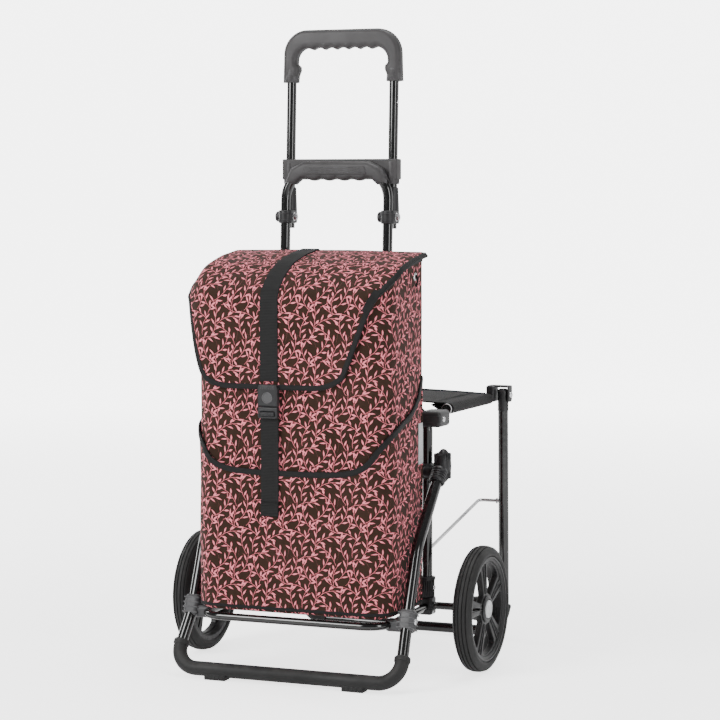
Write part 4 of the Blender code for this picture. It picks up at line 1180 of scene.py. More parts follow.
# ---------------------------------------------------------------- grips and clamps
@dataclass
class LowerGrip:
    """The fixed grip over the handle frame's bend, with the sleeves that guide the pull tubes."""

    tubes: TubeFrame
    low: float = 0.7720
    high: float = 0.8110
    half_width: float = 0.0995

    def waves(self, half: float, bumps: int, z: float, depth: float) -> list[Flat]:
        """A finger-shaped lower edge from -half to half."""
        steps = bumps * 8
        return [(-half + 2 * half * k / steps, z - depth * abs(math.sin(math.pi * bumps * k / steps)))
                for k in range(steps + 1)]

    def build(self) -> None:
        """Build the back plate, the rounded grip in front of it and the clamps."""
        middle = (self.tubes.handle_y(self.low) + self.tubes.handle_y(self.high)) / 2
        shape = Shape()
        w, low, high = self.half_width, self.low, self.high
        back = rounded_outline([(-w, low + 0.006), (w, low + 0.006), (w, high), (-w, high)], 0.0022)
        shape.plate([back], 0.0205, 0.0018, FACE_FRONT, (0, middle + 0.0180, 0), 3)
        for side in Side:
            foot = self.tubes.pull_point(side.value * self.tubes.handle_x, low - 0.001)
            shape.lathe([(0, 0.0078), (0, 0.0104), (0.002, 0.0110), (0.034, 0.0110), (0.037, 0.0100),
                         (0.037, 0.0078)], foot, (0, 0.04, 1), 36, ring=True)
        reach = 0.0905
        arch = [(-reach, 0.7700), (-reach + 0.0200, 0.7700), (-0.0600, 0.7790)]
        arch += self.waves(0.0520, 4, 0.7800, 0.0040)
        arch += [(0.0600, 0.7790), (reach - 0.0200, 0.7700), (reach, 0.7700)]
        top = [(0.0790, 0.7960), (0.0560, 0.8070), (-0.0560, 0.8070), (-0.0790, 0.7960)]
        front = arch + top
        shape.plate([front], 0.0215, 0.0082, FACE_FRONT, (0, middle + 0.0005, 0), 6)
        panel = rounded_outline([(-0.0560, 0.7860), (0.0560, 0.7860), (0.0500, 0.8010),
                                 (-0.0500, 0.8010)], 0.0040)
        shape.plate([panel], 0.0030, 0.0007, FACE_FRONT, (0, middle - 0.0100, 0), 2)
        for line in range(3):
            z = 0.7895 + 0.0038 * line
            half = 0.046 - 0.002 * line
            shape.block((-half, middle - 0.0122, z - 0.0006),
                        (half, middle - 0.0100, z + 0.0006), 0.0005, 2)
        shape.publish("lower_grip_moulding", GRIP, "chassis", ["lower_grip"])
        for side in Side:
            self.clamp(side)

    def clamp(self, side: Side) -> None:
        """The ring clamp on one tube pair, its tapered sleeve and its bolt."""
        low, high = 0.7080, 0.7290
        x = side.value * self.tubes.handle_x
        front, rear = self.tubes.handle_y(low), self.tubes.handle_y(high) + 0.0175
        shape = Shape()
        racetrack = [(x + p, front + q) for p, q in arc(0.0112, math.pi, math.tau, 14)]
        racetrack += [(x + p, rear + q) for p, q in arc(0.0112, 0, math.pi, 14)]
        shape.plate([racetrack], high - low, 0.0018, FACE_UP, (0, 0, (low + high) / 2), 4)
        for z in (low + 0.005, high - 0.005):
            ridge = [(x + (a - x) * 1.045, (front + rear) / 2 + (b - (front + rear) / 2) * 1.03)
                     for a, b in racetrack]
            shape.plate([ridge], 0.0022, 0.0009, FACE_UP, (0, 0, z), 2)
        neck = [(0, 0.0078), (0, 0.0113), (0.004, 0.0113), (0.034, 0.0098), (0.040, 0.0094),
                (0.041, 0.0078)]
        shape.lathe(neck, self.tubes.pull_point(x, high - 0.004), (0, 0.04, 1), 40, ring=True)
        shape.publish(f"pull_clamp_{side.hand}_moulding", PLASTIC, "chassis", [f"pull_clamp_{side.hand}"])
        bolt_y, bolt_z = self.tubes.handle_y(0.7185) + 0.00875, (low + high) / 2
        knob = Shape().lathe(
            [(0, 0), (0, 0.0050), (0.0010, 0.0062), (0.0014, 0.0080), (0.0024, 0.0085), (0.0062, 0.0085),
             (0.0078, 0.0074), (0.0080, 0.0050), (0.0072, 0.0040), (0.0072, 0)],
            (x - 0.0115, bolt_y, bolt_z), (-1, 0, 0), 40)
        knob.publish(f"clamp_knob_{side.hand}_turned", PLASTIC, "chassis", [f"clamp_knob_{side.hand}"])
        nut = Shape().lathe([(0, 0), (0, 0.0054), (0.0006, 0.0060), (0.0038, 0.0060), (0.0046, 0.0053),
                             (0.0046, 0.0034), (0.0055, 0.0030), (0.0055, 0)],
                             (x + 0.0115, bolt_y, bolt_z), (1, 0, 0), 6)
        nut.lathe([(-0.0006, 0), (-0.0006, 0.0066), (0.0002, 0.0068), (0.0006, 0.0062), (0.0006, 0)],
                  (x + 0.0113, bolt_y, bolt_z), (1, 0, 0), 36)
        nut.publish(f"clamp_nut_{side.hand}_turned", STEEL, "chassis", [f"clamp_nut_{side.hand}"])


@dataclass
class PullHandle:
    """The sliding U tube and the moulded grip over its top."""

    tubes: TubeFrame
    radius: float = 0.0076
    low: float = 0.700
    top: float = 1.002
    bend: float = 0.030
    grip_low: float = 0.9340
    grip_top: float = 1.0180
    grip_inner: float = 0.9890
    half_width: float = 0.1010
    corner: float = 0.040

    def build(self) -> None:
        """Build the tube, its height button and the grip."""
        x = self.tubes.handle_x
        ends = [self.tubes.pull_point(x, self.low), self.tubes.pull_point(x, self.top)]
        route = mirrored_route(ends, [self.bend])
        Shape().tube(route, self.radius).publish("pull_handle_tube_painted", PAINT, "pull_handle",
                                                 ["pull_handle_tube"])
        at = self.tubes.pull_point(x, 0.900) + Vector((self.radius, 0, 0))
        button = Shape().lathe([(-0.002, 0), (-0.002, 0.0024), (0.0001, 0.0024), (0.0003, 0.0016),
                                (0.0004, 0)], at, (1, 0, 0), 24)
        button.publish("height_button_turned", STEEL, "pull_handle")
        self.grip()

    def outline(self) -> list[Flat]:
        """The grip's outline as seen from the front."""
        half: list[Flat] = [(0.1022, self.grip_low), (0.0786, self.grip_low)]
        half += [(0.0772, 0.9450), (0.0738, 0.9530), (0.0742, 0.9590), (0.0790, 0.9640)]
        radius = 0.0215
        half += [(0.0575 + radius * math.cos(a), self.grip_inner - radius + radius * math.sin(a))
                 for a in (0.25, 0.5, 0.75, 1.0, 1.25, 1.45)]
        wave, bumps = 0.0500, 5
        steps = bumps * 8
        inner = [(wave - 2 * wave * k / steps,
                  self.grip_inner - 0.0034 + 0.0034 * abs(math.sin(math.pi * bumps * k / steps)))
                 for k in range(steps + 1)]
        left = [(-px, pz) for px, pz in reversed(half)]
        corner_x, corner_z = self.half_width - self.corner, self.grip_top - self.corner
        top = [(-corner_x + px, corner_z + pz)
               for px, pz in reversed(arc(self.corner, math.pi / 2, math.pi, 14))]
        top += [(corner_x + px, corner_z + pz)
                for px, pz in reversed(arc(self.corner, 0, math.pi / 2, 14))]
        return half + inner + left + top

    def grip(self) -> None:
        """The grip: a thick rounded body with a raised spine round its outside."""
        y = self.tubes.handle_y((self.grip_low + self.grip_top) / 2) + 0.0175
        outline = self.outline()
        shape = Shape().plate([outline], 0.0230, 0.0080, FACE_FRONT, (0, y, 0), 7)
        for side in Side:
            x = side.value * self.tubes.handle_x
            shape.lathe([(0, 0.0080), (0, 0.0118), (0.0016, 0.0126), (0.020, 0.0112), (0.022, 0.0080)],
                        self.tubes.pull_point(x, self.grip_low), (0, 0.04, 1), 40, ring=True)
        shape.publish("upper_grip_moulding", GRIP, "pull_handle", ["upper_grip"])


# ---------------------------------------------------------------- wheels
@dataclass
class Wheel:
    """One wheel: tyre, spoked rim and hub button."""

    side: Side
    middle: Vector
    radius: float
    width: float
    rim_radius: float = 0.0835
    hub_radius: float = 0.0185
    button_radius: float = 0.0145
    spokes: int = 5

    @classmethod
    def of(cls, side: Side) -> "Wheel":
        """The wheel of a side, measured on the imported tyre."""
        low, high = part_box(f"tyre_{side.hand}")
        middle = (low + high) / 2 - Vector((0, AXLE_Y, 0))
        return cls(side, middle, (high.z - low.z) / 2, high.x - low.x)

    def build(self) -> None:
        """Build the wheel's three pieces."""
        self.tyre()
        self.rim()
        self.button()

    def tyre(self) -> None:
        """The tyre, with grooves round its tread and a step on its wall."""
        half, r, seat = self.width / 2, self.radius, self.rim_radius + 0.0005
        profile = [(half - 0.0012, seat), (half, seat + 0.0020), (half, r - 0.0098),
                   (half - 0.0009, r - 0.0086)]
        crown = [(half - 0.0024, r - 0.0052)]
        for groove in (0.0088, 0.0030):
            z = self.crown(groove, half)
            crown += [(groove + 0.0010, z), (groove + 0.0008, z - 0.0016), (groove - 0.0008, z - 0.0016),
                      (groove - 0.0010, z)]
        crown.insert(1, (0.0118, self.crown(0.0118, half)))
        crown.insert(6, (0.0058, self.crown(0.0058, half)))
        profile += crown + [(0.0, r)] + [(-a, b) for a, b in reversed(crown)]
        profile += [(-a, b) for a, b in reversed(profile[:4])]
        shape = Shape().lathe(profile, self.middle, (self.side.value, 0, 0), 96, ring=True)
        shape.publish(f"tyre_{self.side.hand}_moulding", TYRE, f"wheel_{self.side.hand}",
                      [f"tyre_{self.side.hand}"])

    def crown(self, across: float, half: float) -> float:
        """The tread's height at a distance from its middle."""
        return self.radius - 0.0060 * (abs(across) / half) ** 2.2

    def wedge(self, middle: float) -> list[Flat]:
        """One opening between two spokes, narrower at the hub."""
        outer, inner = 0.0722, 0.0262
        half_outer, half_inner = 0.415, 0.30
        corners = [(outer * math.cos(middle + a), outer * math.sin(middle + a))
                   for a in (-half_outer, -half_outer / 2, 0, half_outer / 2, half_outer)]
        corners += [(inner * math.cos(middle + a), inner * math.sin(middle + a))
                    for a in (half_inner, -half_inner)]
        radii = [0.0055, 0.012, 0.012, 0.012, 0.0055, 0.0035, 0.0035]
        return rounded_outline(corners, radii, 0.25)

    def slot(self, middle: float) -> list[Flat]:
        """The slit that splits a spoke in two."""
        along = Vector((math.cos(middle), math.sin(middle), 0))
        across = Vector((-along.y, along.x, 0)) * 0.0011
        ends = [along * 0.0300 - across, along * 0.0690 - across * 1.8, along * 0.0690 + across * 1.8,
                along * 0.0300 + across]
        return [(p.x, p.y) for p in ends]

    def rim(self) -> None:
        """The rim: a stepped ring, five split spokes and a hub, on the outboard side."""
        s, x = self.side.value, self.middle.x
        shape = Shape()
        ring = [(-0.0132, 0.0765), (-0.0132, self.rim_radius), (0.0128, self.rim_radius),
                (0.0140, 0.0826), (0.0140, 0.0800), (0.0122, 0.0790), (0.0116, 0.0768), (0.0098, 0.0752),
                (0.0030, 0.0744), (-0.0100, 0.0744)]
        shape.lathe(ring, self.middle, (s, 0, 0), 96, ring=True)
        outlines = [arc(0.0762, 0, math.tau * 95 / 96, 95)]
        for spoke in range(self.spokes):
            middle = math.radians(136) + math.tau * spoke / self.spokes
            outlines.append(self.wedge(middle))
            outlines.append(self.slot(middle + math.pi / self.spokes))
        outlines.append(arc(self.button_radius + 0.0007, 0, math.tau * 47 / 48, 47))
        shape.plate(outlines, 0.0100, 0.0014, FACE_SIDE, (x + s * 0.0040, 0, self.middle.z), 3)
        hub = [(-0.0150, 0.0070), (-0.0150, 0.0172), (-0.0140, self.hub_radius),
               (0.0110, self.hub_radius + 0.0030), (0.0122, self.hub_radius + 0.0015),
               (0.0130, self.hub_radius - 0.0010), (0.0130, self.button_radius + 0.0012),
               (0.0118, self.button_radius + 0.0007), (0.0050, self.button_radius + 0.0007),
               (0.0050, 0.0070)]
        shape.lathe(hub, self.middle, (s, 0, 0), 64, ring=True)
        for spoke in range(self.spokes * 2):
            lean = 0.075 if spoke % 2 else -0.075
            angle = math.radians(100) + math.pi * (spoke // 2) * 2 / self.spokes + lean
            rib = Shape().block((0.0250, -0.0009, -0.0022), (0.0735, 0.0009, 0.0022), 0.0006, 2)
            turn = Matrix(((0, 0, 1), (1, 0, 0), (0, 1, 0))).to_4x4() @ Matrix.Rotation(angle, 4, "Z")
            shape.take(rib.mesh, Matrix.Translation(self.middle + Vector((s * 0.0085, 0, 0))) @ turn)
        shape.publish(f"rim_{self.side.hand}_moulding", RIM_PLASTIC, f"wheel_{self.side.hand}",
                      [f"rim_{self.side.hand}"])

    def button(self) -> None:
        """The silver release button in the hub, with a dished face."""
        r = self.button_radius
        profile = [(0.0094, 0), (0.0094, r), (0.0126, r), (0.0138, r - 0.0008), (0.0142, r - 0.0022),
                   (0.0140, r - 0.0035), (0.0131, r - 0.0045), (0.0130, 0.0052), (0.0136, 0.0044),
                   (0.0137, 0)]
        shape = Shape().lathe(profile, self.middle, (self.side.value, 0, 0), 64)
        shape.publish(f"hub_button_{self.side.hand}_moulding", SILVER, f"hub_button_{self.side.hand}",
                      [f"hub_button_{self.side.hand}"])


# ---------------------------------------------------------------- seat
@dataclass
class Seat:
    """The fold-up seat: rails, sling, hinge fittings, rear leg and brace rods."""

    pivot: Flat = (0.0380, 0.401)          # (Y, Z) of the front hinge
    knuckle: Flat = (0.2770, 0.416)        # (Y, Z) of the rear leg's hinge
    rail_x: float = 0.164
    rail_z: float = 0.410
    rail_radius: float = 0.00725
    leg_x: float = 0.1825
    leg_foot_x: float = 0.187
    leg_radius: float = 0.0085
    sling_front: float = 0.060
    sling_rear: float = 0.256
    sling_lift: float = 0.0016             # of the cloth's outer face over the rails
    crown: float = 0.0050                  # of the taut cloth's middle over its rails
    crown_half_width: float = 0.150
    leg_top: float = 0.3884                # where the rear leg's plastic end starts

    def build(self) -> None:
        """Build the seat and what hangs from it."""
        self.sling()
        route = self.leg_route()
        Shape().tube(route, self.leg_radius).publish("rear_leg_tube_painted", PAINT, "rear_leg",
                                                     ["rear_leg_tube"])
        for side in Side:
            self.rail(side)
            self.front_hinge(side)
            self.rear_knuckle(side)
            self.leg_cap(side)
            self.foot_cap(side, route)
            self.brace(side)

    def leg_route(self) -> Route:
        """The rear leg's U."""
        return mirrored_route([(self.leg_x, self.knuckle[0], 0.3880), (self.leg_foot_x, 0.2740, 0.0115)],
                              [0.046])

    def section(self) -> tuple[Path, float]:
        """Half of the sling's section, from the middle out and round the rail, as (X, Z)."""
        r = self.rail_radius + self.sling_lift
        points = [Vector((x, 0, self.rail_z + r)) for x in (0.0, 0.05, 0.10, 0.14, self.rail_x - 0.002)]
        points += [Vector((self.rail_x + r * math.sin(a), 0, self.rail_z + r * math.cos(a)))
                   for a in (0.15 * k for k in range(1, 21))]
        points += [Vector((self.rail_x - 0.006, 0, self.rail_z - r * 0.86)),
                   Vector((self.rail_x - 0.016, 0, self.rail_z - 0.0030)),
                   Vector((self.rail_x - 0.030, 0, self.rail_z + r - 0.0036))]
        path = Path(points)
        return path, path.length

    def sling(self) -> None:
        """The cloth seat, sewn round both rails and standing a little proud between them."""
        path, half = self.section()
        length = self.sling_rear - self.sling_front

        def settle(across: float, along: float) -> tuple[Vector, Flat]:
            """A point of the sling."""
            run = (across - 0.5) * 2 * half
            point = path.at(abs(run))
            x, z = math.copysign(point.x, run), point.z
            y = self.sling_front + length * along
            over = abs(run) < self.rail_x
            middle, edge = self.spread_out(x, along)
            middle = middle if over else 0.0
            z += self.crown * middle * (1.0 - 0.25 * edge)
            bow = 0.0045 * middle * (1 if along > 0.5 else -1) * edge
            notch = 0.0060 * math.exp(-(x / 0.010) ** 2) * eased((along - 0.9) / 0.1)
            z += 0.0006 * noise.noise(Vector((x * 24, y * 24, 1.7))) * (1 if over else 0)
            return Vector((x, y - bow - notch, z)), (x if over else run, y)

        cloth = Shape().cloth(132, 60, settle).publish(
            "seat_sling_cloth", SEAT_CLOTH, "seat", ["seat_sling"])
        wall(cloth, 0.0014)
        for y in (self.sling_front + 0.0035, self.sling_rear - 0.0035):
            run = [(x, z) for x, z in self.top_line(y)]
            line = [(Vector((x, y, z + 0.0004)), Vector((0, 0, 1))) for x, z in run]
            hem = Shape().band(line, 0.0085, 0.0022)
            name = "seat_hem_front" if y < 0.1 else "seat_hem_rear"
            hem.publish(name, TAPE, "seat")
        for side in Side:
            self.seam(side)

    def spread_out(self, x: float, along: float) -> Flat:
        """How near a place is to the sling's middle, and to its front or rear edge, from 0 to 1."""
        return max(0.0, 1 - (x / self.crown_half_width) ** 2), (2 * along - 1) ** 2

    def top_at(self, x: float, y: float) -> float:
        """The height of the sling's top face at a place between the rails."""
        along = (y - self.sling_front) / (self.sling_rear - self.sling_front)
        middle, edge = self.spread_out(x, along)
        top = self.rail_z + self.rail_radius + self.sling_lift
        return top + self.crown * middle * (1.0 - 0.25 * edge)

    def top_line(self, y: float) -> list[Flat]:
        """Points of the sling's top face across the seat at a Y."""
        places = [-0.158 + 0.316 * step / 60 for step in range(61)]
        return [(x, self.top_at(x, y)) for x in places]

    def seam(self, side: Side) -> None:
        """Two rows of stitches beside a rail."""
        shape = Shape()
        x0 = side.value * (self.rail_x - 0.024)
        for row in (0.0, 0.0045):
            x = x0 - side.value * row
            for step in range(38):
                y = self.sling_front + 0.010 + 0.0047 * step
                z = self.top_at(x, y)
                shape.block((x - 0.0004, y, z - 0.0003), (x + 0.0004, y + 0.0032, z + 0.0005), 0.0003, 1)
        shape.publish(f"seat_stitches_{side.hand}", WEBBING, "seat")

    def rail(self, side: Side) -> None:
        """One seat rail."""
        x = side.value * self.rail_x
        route = [Vector((x, self.pivot[0] + 0.0152, self.rail_z)), Vector((x, 0.15, self.rail_z)),
                 Vector((x, 0.2600, self.rail_z))]
        Shape().tube(route, self.rail_radius).publish(f"seat_rail_{side.hand}_painted", PAINT, "seat",
                                                      [f"seat_rail_{side.hand}"])

    def front_hinge(self, side: Side) -> None:
        """The bright pressed hinge at a rail's front end."""
        s, (y, z) = side.value, self.pivot
        shape = Shape()
        shape.lathe([(0, 0), (0, 0.0068), (0.0008, 0.0076), (0.0117, 0.0076), (0.0125, 0.0068),
                     (0.0125, 0)],
                    (s * 0.1570, y, z), (s, 0, 0), 40)
        shape.block((s * 0.1574, y, z - 0.0070), (s * 0.1691, y + 0.0148, z + 0.0072), 0.0024, 4)
        shape.lathe([(0, 0.0076), (0, 0.0086), (0.0022, 0.0088), (0.0026, 0.0076)],
                    (s * 0.164, y + 0.0125, self.rail_z), (0, 1, 0), 36, ring=True)
        shape.bolt((s * 0.1693, y, z), (s, 0, 0), 0.0047, 0.0026)
        shape.publish(f"rail_pivot_{side.hand}_pressed", STEEL, "seat", [f"rail_pivot_{side.hand}"])

    def rear_knuckle(self, side: Side) -> None:
        """The L-shaped knuckle that joins a rail's rear end to the leg."""
        s, (y, z) = side.value, self.knuckle
        shape = Shape()
        shape.block((s * 0.1570, 0.2604, z - 0.0120), (s * 0.1713, y + 0.0090, z + 0.0155), 0.0030, 5)
        shape.block((s * 0.1572, y - 0.0092, z + 0.0125), (s * 0.1954, y + 0.0092, z + 0.0157), 0.0014, 3)
        cheek = rounded_outline([(y - 0.0094, z - 0.0120), (y + 0.0094, z - 0.0120),
                                 (y + 0.0094, z + 0.0159), (y - 0.0094, z + 0.0159)],
                                 [0.0060, 0.0060, 0.0040, 0.0040])
        shape.plate([cheek], 0.0028, 0.0010, FACE_SIDE, (s * 0.1942, 0, 0), 3)
        shape.publish(f"rear_knuckle_{side.hand}_moulding", FITTING, "seat",
                      [f"rear_knuckle_{side.hand}"])
        Shape().bolt((s * 0.1955, y, z), (s, 0, 0), 0.0050, 0.0032).publish(
            f"knuckle_bolt_{side.hand}", STEEL, "seat")

    def leg_cap(self, side: Side) -> None:
        """The rounded plastic end of the rear leg."""
        x, (y, z) = side.value * self.leg_x, self.knuckle
        hinge = z - self.leg_top
        profile = [(0, 0), (0, 0.0085), (0.0006, 0.0090), (hinge, 0.0092), (hinge + 0.0070, 0.0095),
                   (hinge + 0.0088, 0.0083), (hinge + 0.0101, 0.0060), (hinge + 0.0104, 0.0030),
                   (hinge + 0.0104, 0)]
        Shape().lathe(profile, (x, y, self.leg_top), (0, 0, 1), 40).publish(
            f"rear_leg_cap_{side.hand}_moulding", PLASTIC, "rear_leg", [f"rear_leg_cap_{side.hand}"])

    def foot_cap(self, side: Side, route: Route) -> None:
        """The rubber boot on a bottom corner of the rear leg."""
        corner = [Vector((side.value * p.x, p.y, p.z)) for p in route if 0.11 < p.x and p.z < 0.062]
        shape = Shape().tube(corner, 0.0113, 32)
        for at, ahead in ((corner[0], corner[1]), (corner[-1], corner[-2])):
            shape.lathe([(-0.0060, 0.0093), (-0.0060, 0.0114), (-0.0050, 0.0121), (-0.0010, 0.0121),
                         (0.0004, 0.0112), (0.0004, 0.0093)], at, (at - ahead).normalized(), 36,
                         ring=True)
        shape.publish(f"rear_foot_cap_{side.hand}_moulding", RUBBER, "rear_leg",
                      [f"rear_foot_cap_{side.hand}"])

    def brace(self, side: Side) -> None:
        """One bent brace rod, with a washer on each end."""
        s, low, high = side.value, (-0.0085, 0.174), (0.2770, 0.235)
        route = rounded_route([(s * 0.1455, *low), (s * 0.1400, *low), (s * 0.1400, *high),
                               (s * 0.1755, *high)],
                              [0.004, 0.008])
        shape = Shape().tube(route, 0.0028, 20)
        shape.lathe([(0, 0), (0, 0.0050), (0.0010, 0.0052), (0.0016, 0.0046), (0.0016, 0)],
                    (s * 0.1437, *low), (s, 0, 0), 32)
        shape.lathe([(0, 0), (0, 0.0048), (0.0012, 0.0050), (0.0018, 0.0044), (0.0018, 0)],
                    (s * 0.1715, *high), (s, 0, 0), 32)
        shape.publish(f"brace_rod_{side.hand}_plated", STEEL, f"brace_{side.hand}",
                      [f"brace_rod_{side.hand}"])


# ---------------------------------------------------------------- bag
@dataclass
class BagShape:
    """The bag's plan and rim, which its walls, pocket, bindings and straps all follow."""

    half_width: float = 0.163
    front: float = -0.205
    rear: float = -0.048
    front_corner: float = 0.040
    rear_corner: float = 0.012
    floor: float = 0.1075
    rim: tuple[Flat, ...] = ((-0.205, 0.600), (-0.190, 0.616), (-0.155, 0.639), (-0.100, 0.652),
                             (-0.048, 0.659))
    runs: list[float] = field(default_factory=list)

    def __post_init__(self) -> None:
        """Measure the plan's stretches from the middle of the front to the middle of the rear."""
        quarter = math.pi / 2
        side = (self.rear - self.rear_corner) - (self.front + self.front_corner)
        lengths = (self.half_width - self.front_corner, self.front_corner * quarter, side,
                   self.rear_corner * quarter, self.half_width - self.rear_corner)
        self.runs = [0.0]
        for length in lengths:
            self.runs.append(self.runs[-1] + length)

    @property
    def half_girth(self) -> float:
        """The distance round one half."""
        return self.runs[-1]

    def plan(self, run: float) -> tuple[Vector, Vector]:
        """The plan's point and outward normal at a distance round from the front's middle."""
        s, runs, w = abs(run), self.runs, self.half_width
        if s <= runs[1]:
            place, out = (s, self.front), (0.0, -1.0)
        elif s <= runs[2]:
            angle = (s - runs[1]) / self.front_corner
            out = (math.sin(angle), -math.cos(angle))
            place = (w - self.front_corner + self.front_corner * out[0],
                     self.front + self.front_corner + self.front_corner * out[1])
        elif s <= runs[3]:
            place, out = (w, self.front + self.front_corner + s - runs[2]), (1.0, 0.0)
        elif s <= runs[4]:
            angle = (s - runs[3]) / self.rear_corner
            out = (math.cos(angle), math.sin(angle))
            place = (w - self.rear_corner + self.rear_corner * out[0],
                     self.rear - self.rear_corner + self.rear_corner * out[1])
        else:
            place, out = (w - self.rear_corner - (s - runs[4]), self.rear), (0.0, 1.0)
        sign = math.copysign(1.0, run)
        return Vector((sign * place[0], place[1], 0)), Vector((sign * out[0], out[1], 0))

    def rim_z(self, y: float) -> float:
        """The rim's height at a Y."""
        return along_table(self.rim, y)

    def puff(self, run: float, z: float) -> float:
        """How far the soft wall stands proud of the plan."""
        up = min(max((z - self.floor) / 0.5, 0.0), 1.0)
        s = abs(run)
        lifted = math.sin(math.pi * min(up * 0.94 + 0.03, 1.0)) ** 0.7
        panel = math.cos(min(s / 0.150, 1.0) * math.pi / 2) * 0.0016
        side = math.exp(-((s - 0.235) / 0.040) ** 2) * 0.0032
        ripple = 0.0011 * noise.noise(Vector((run * 11, z * 7, 3.1))) + 0.0005 * noise.noise(
            Vector((run * 34, z * 16, 8.2)))
        still = eased((self.half_girth - s) / 0.15)
        return ((panel + side) * lifted + ripple * min(1.0, lifted * 1.4)) * still

    def at(self, run: float, z: float, grow: float = 0.0) -> tuple[Vector, Vector]:
        """The wall's point and outward normal, moved out by a distance."""
        place, out = self.plan(run)
        return place + out * (grow + self.puff(run, z)) + Vector((0, 0, z)), out


@dataclass
class Bag:
    """The bag's walls, floor, pocket, bindings and small trims."""

    shape: BagShape
    turn_in: float = 0.010
    mouth: tuple[Flat, ...] = ((0.0, 0.329), (0.060, 0.330), (0.103, 0.334), (0.130, 0.346),
                               (0.150, 0.372), (0.175, 0.394), (0.2348, 0.420), (0.2700, 0.444),
                               (0.2850, 0.459), (0.2930, 0.472))

    def build(self) -> None:
        """Build the bag."""
        self.walls()
        self.base()
        self.pocket()
        self.trims()

    def walls(self) -> None:
        """The four walls and floor in one sheet, bound with tape at the rim and the floor."""
        half, low = self.shape.half_girth, self.shape.floor

        def settle(across: float, up: float) -> tuple[Vector, Flat]:
            """A point of the walls; the lowest rows turn in under the bag."""
            run = (across - 0.5) * 2 * half
            place, out = self.shape.plan(run)
            top = self.shape.rim_z(place.y)
            turning = 0.06
            if up < turning:
                angle = (1 - up / turning) * math.pi / 2
                inward = self.turn_in * (1 - math.cos(angle))
                z = low + self.turn_in * (1 - math.sin(angle))
                point = place - out * inward
                return Vector((point.x, point.y, z)), (run, z)
            z = low + self.turn_in + (top - low - self.turn_in) * (up - turning) / (1 - turning)
            return self.shape.at(run, z)[0], (run, z)

        shape = Shape().cloth(260, 120, settle, closed=True)
        ring = [e for e in shape.mesh.edges
                if e.is_boundary and max(v.co.z for v in e.verts) < low + 0.004]
        bmesh.ops.holes_fill(shape.mesh, edges=ring, sides=0)
        walls = shape.publish("bag_walls", CANVAS, "chassis", ["bag_body"], extra=(LINING, TAPE))
        wall(walls, 0.0022, inner=1, rim=2)
        rim, foot = [], []
        for step in range(241):
            run = (step / 240 - 0.5) * 2 * half
            place, _ = self.shape.plan(run)
            z = self.shape.rim_z(place.y)
            point, out = self.shape.at(run, z - 0.0036, -0.0011)
            rim.append((point, out))
            point, out = self.shape.at(run, low + 0.0085, 0.0003)
            foot.append((point, out))
        tapes = [Shape().band(rim, 0.0080, 0.0046, looped=True).publish("bag_rim_tape", TAPE, "chassis"),
                 Shape().band(foot, 0.0062, 0.0030, looped=True).publish(
                     "bag_foot_piping", TAPE, "chassis")]

    def base(self) -> None:
        """The stiff board in the bag's floor."""
        dots = []
        for step in range(120):
            point, out = self.shape.plan((step / 120 - 0.5) * 2 * self.shape.half_girth)
            point = point - out * 0.0100
            dots.append((point.x, point.y))
        shape = Shape().plate([dots], 0.0032, 0.0008, FACE_UP, (0, 0, self.shape.floor + 0.0046))
        shape.publish("bag_base_board_cut", PLASTIC, "chassis", ["bag_base_board"])

    def mouth_z(self, run: float) -> float:
        """The pocket mouth's height at a distance round."""
        return along_table(self.mouth, abs(run))

    def pocket(self) -> None:
        """The pocket panel round the front and sides, with its taped mouth."""
        reach, low = 0.2930, self.shape.floor + 0.0105

        def settle(across: float, up: float) -> tuple[Vector, Flat]:
            """A point of the pocket panel."""
            run = (across - 0.5) * 2 * reach
            top = self.mouth_z(run)
            z = low + (top - low) * up
            close = eased(1 - (top - z) / 0.06)
            flush = eased((reach - abs(run)) / 0.030)
            return self.shape.at(run, z, (0.0016 + 0.0014 * close) * flush + 0.0002)[0], (run, z)

        cloth = Shape().cloth(220, 84, settle).publish(
            "front_pocket_panel", CANVAS, "chassis", ["front_pocket"])
        wall(cloth, 0.0012)
        line = []
        for step in range(161):
            run = (step / 160 - 0.5) * 2 * reach
            top = self.mouth_z(run)
            flush = eased((reach - abs(run)) / 0.030)
            point, out = self.shape.at(run, top - 0.0022, 0.0030 * flush + 0.0004)
            line.append((point, out))
        tape = Shape().band(line, 0.0092, 0.0034).publish("pocket_mouth_tape", TAPE, "chassis")
        seams = Shape()
        for sign in (1, -1):
            edge = [self.shape.at(sign * reach, low + (self.mouth_z(reach) - low) * k / 40, 0.0006)
                    for k in range(41)]
            seams.band(edge, 0.0040, 0.0016)
        side_seams = seams.publish("pocket_side_seams", CANVAS, "chassis")

    def trims(self) -> None:
        """The eyelet with its cord loop, and the reflecting patch near the rear."""
        shape = self.shape
        place, out = shape.at(0.262, 0.628, 0.0004)
        ring = Shape().lathe([(0.0, 0.0036), (0.0008, 0.0034), (0.0016, 0.0040), (0.0016, 0.0052),
                              (0.0008, 0.0062), (0.0, 0.0064)], place, out, 40, ring=True)
        ring.publish("eyelet_pressed", STEEL, "chassis")
        loop = [place + Vector((0.0030, -0.004, -0.016)), place + Vector((0.0046, -0.0022, -0.008)),
                place + Vector((0.0030, 0, 0.001)), place + Vector((-0.0020, 0.001, 0.003))]
        Shape().tube(rounded_route(loop, [0.006, 0.004], 0.3), 0.0016, 16).publish(
            "eyelet_loop_cord", WEBBING, "chassis")
        for sign in (1, -1):
            def settle(across: float, up: float, sign: int = sign) -> tuple[Vector, Flat]:
                """A point of the patch."""
                run = sign * (0.268 + 0.022 * across) if sign > 0 else sign * (0.290 - 0.022 * across)
                z = 0.335 + 0.064 * up
                return shape.at(run, z, 0.0030)[0], (run, z)

            hand = Side(sign).hand
            patch = Shape().cloth(10, 20, settle).publish(f"reflecting_patch_{hand}", PATCH, "chassis")
            wall(patch, 0.0008)


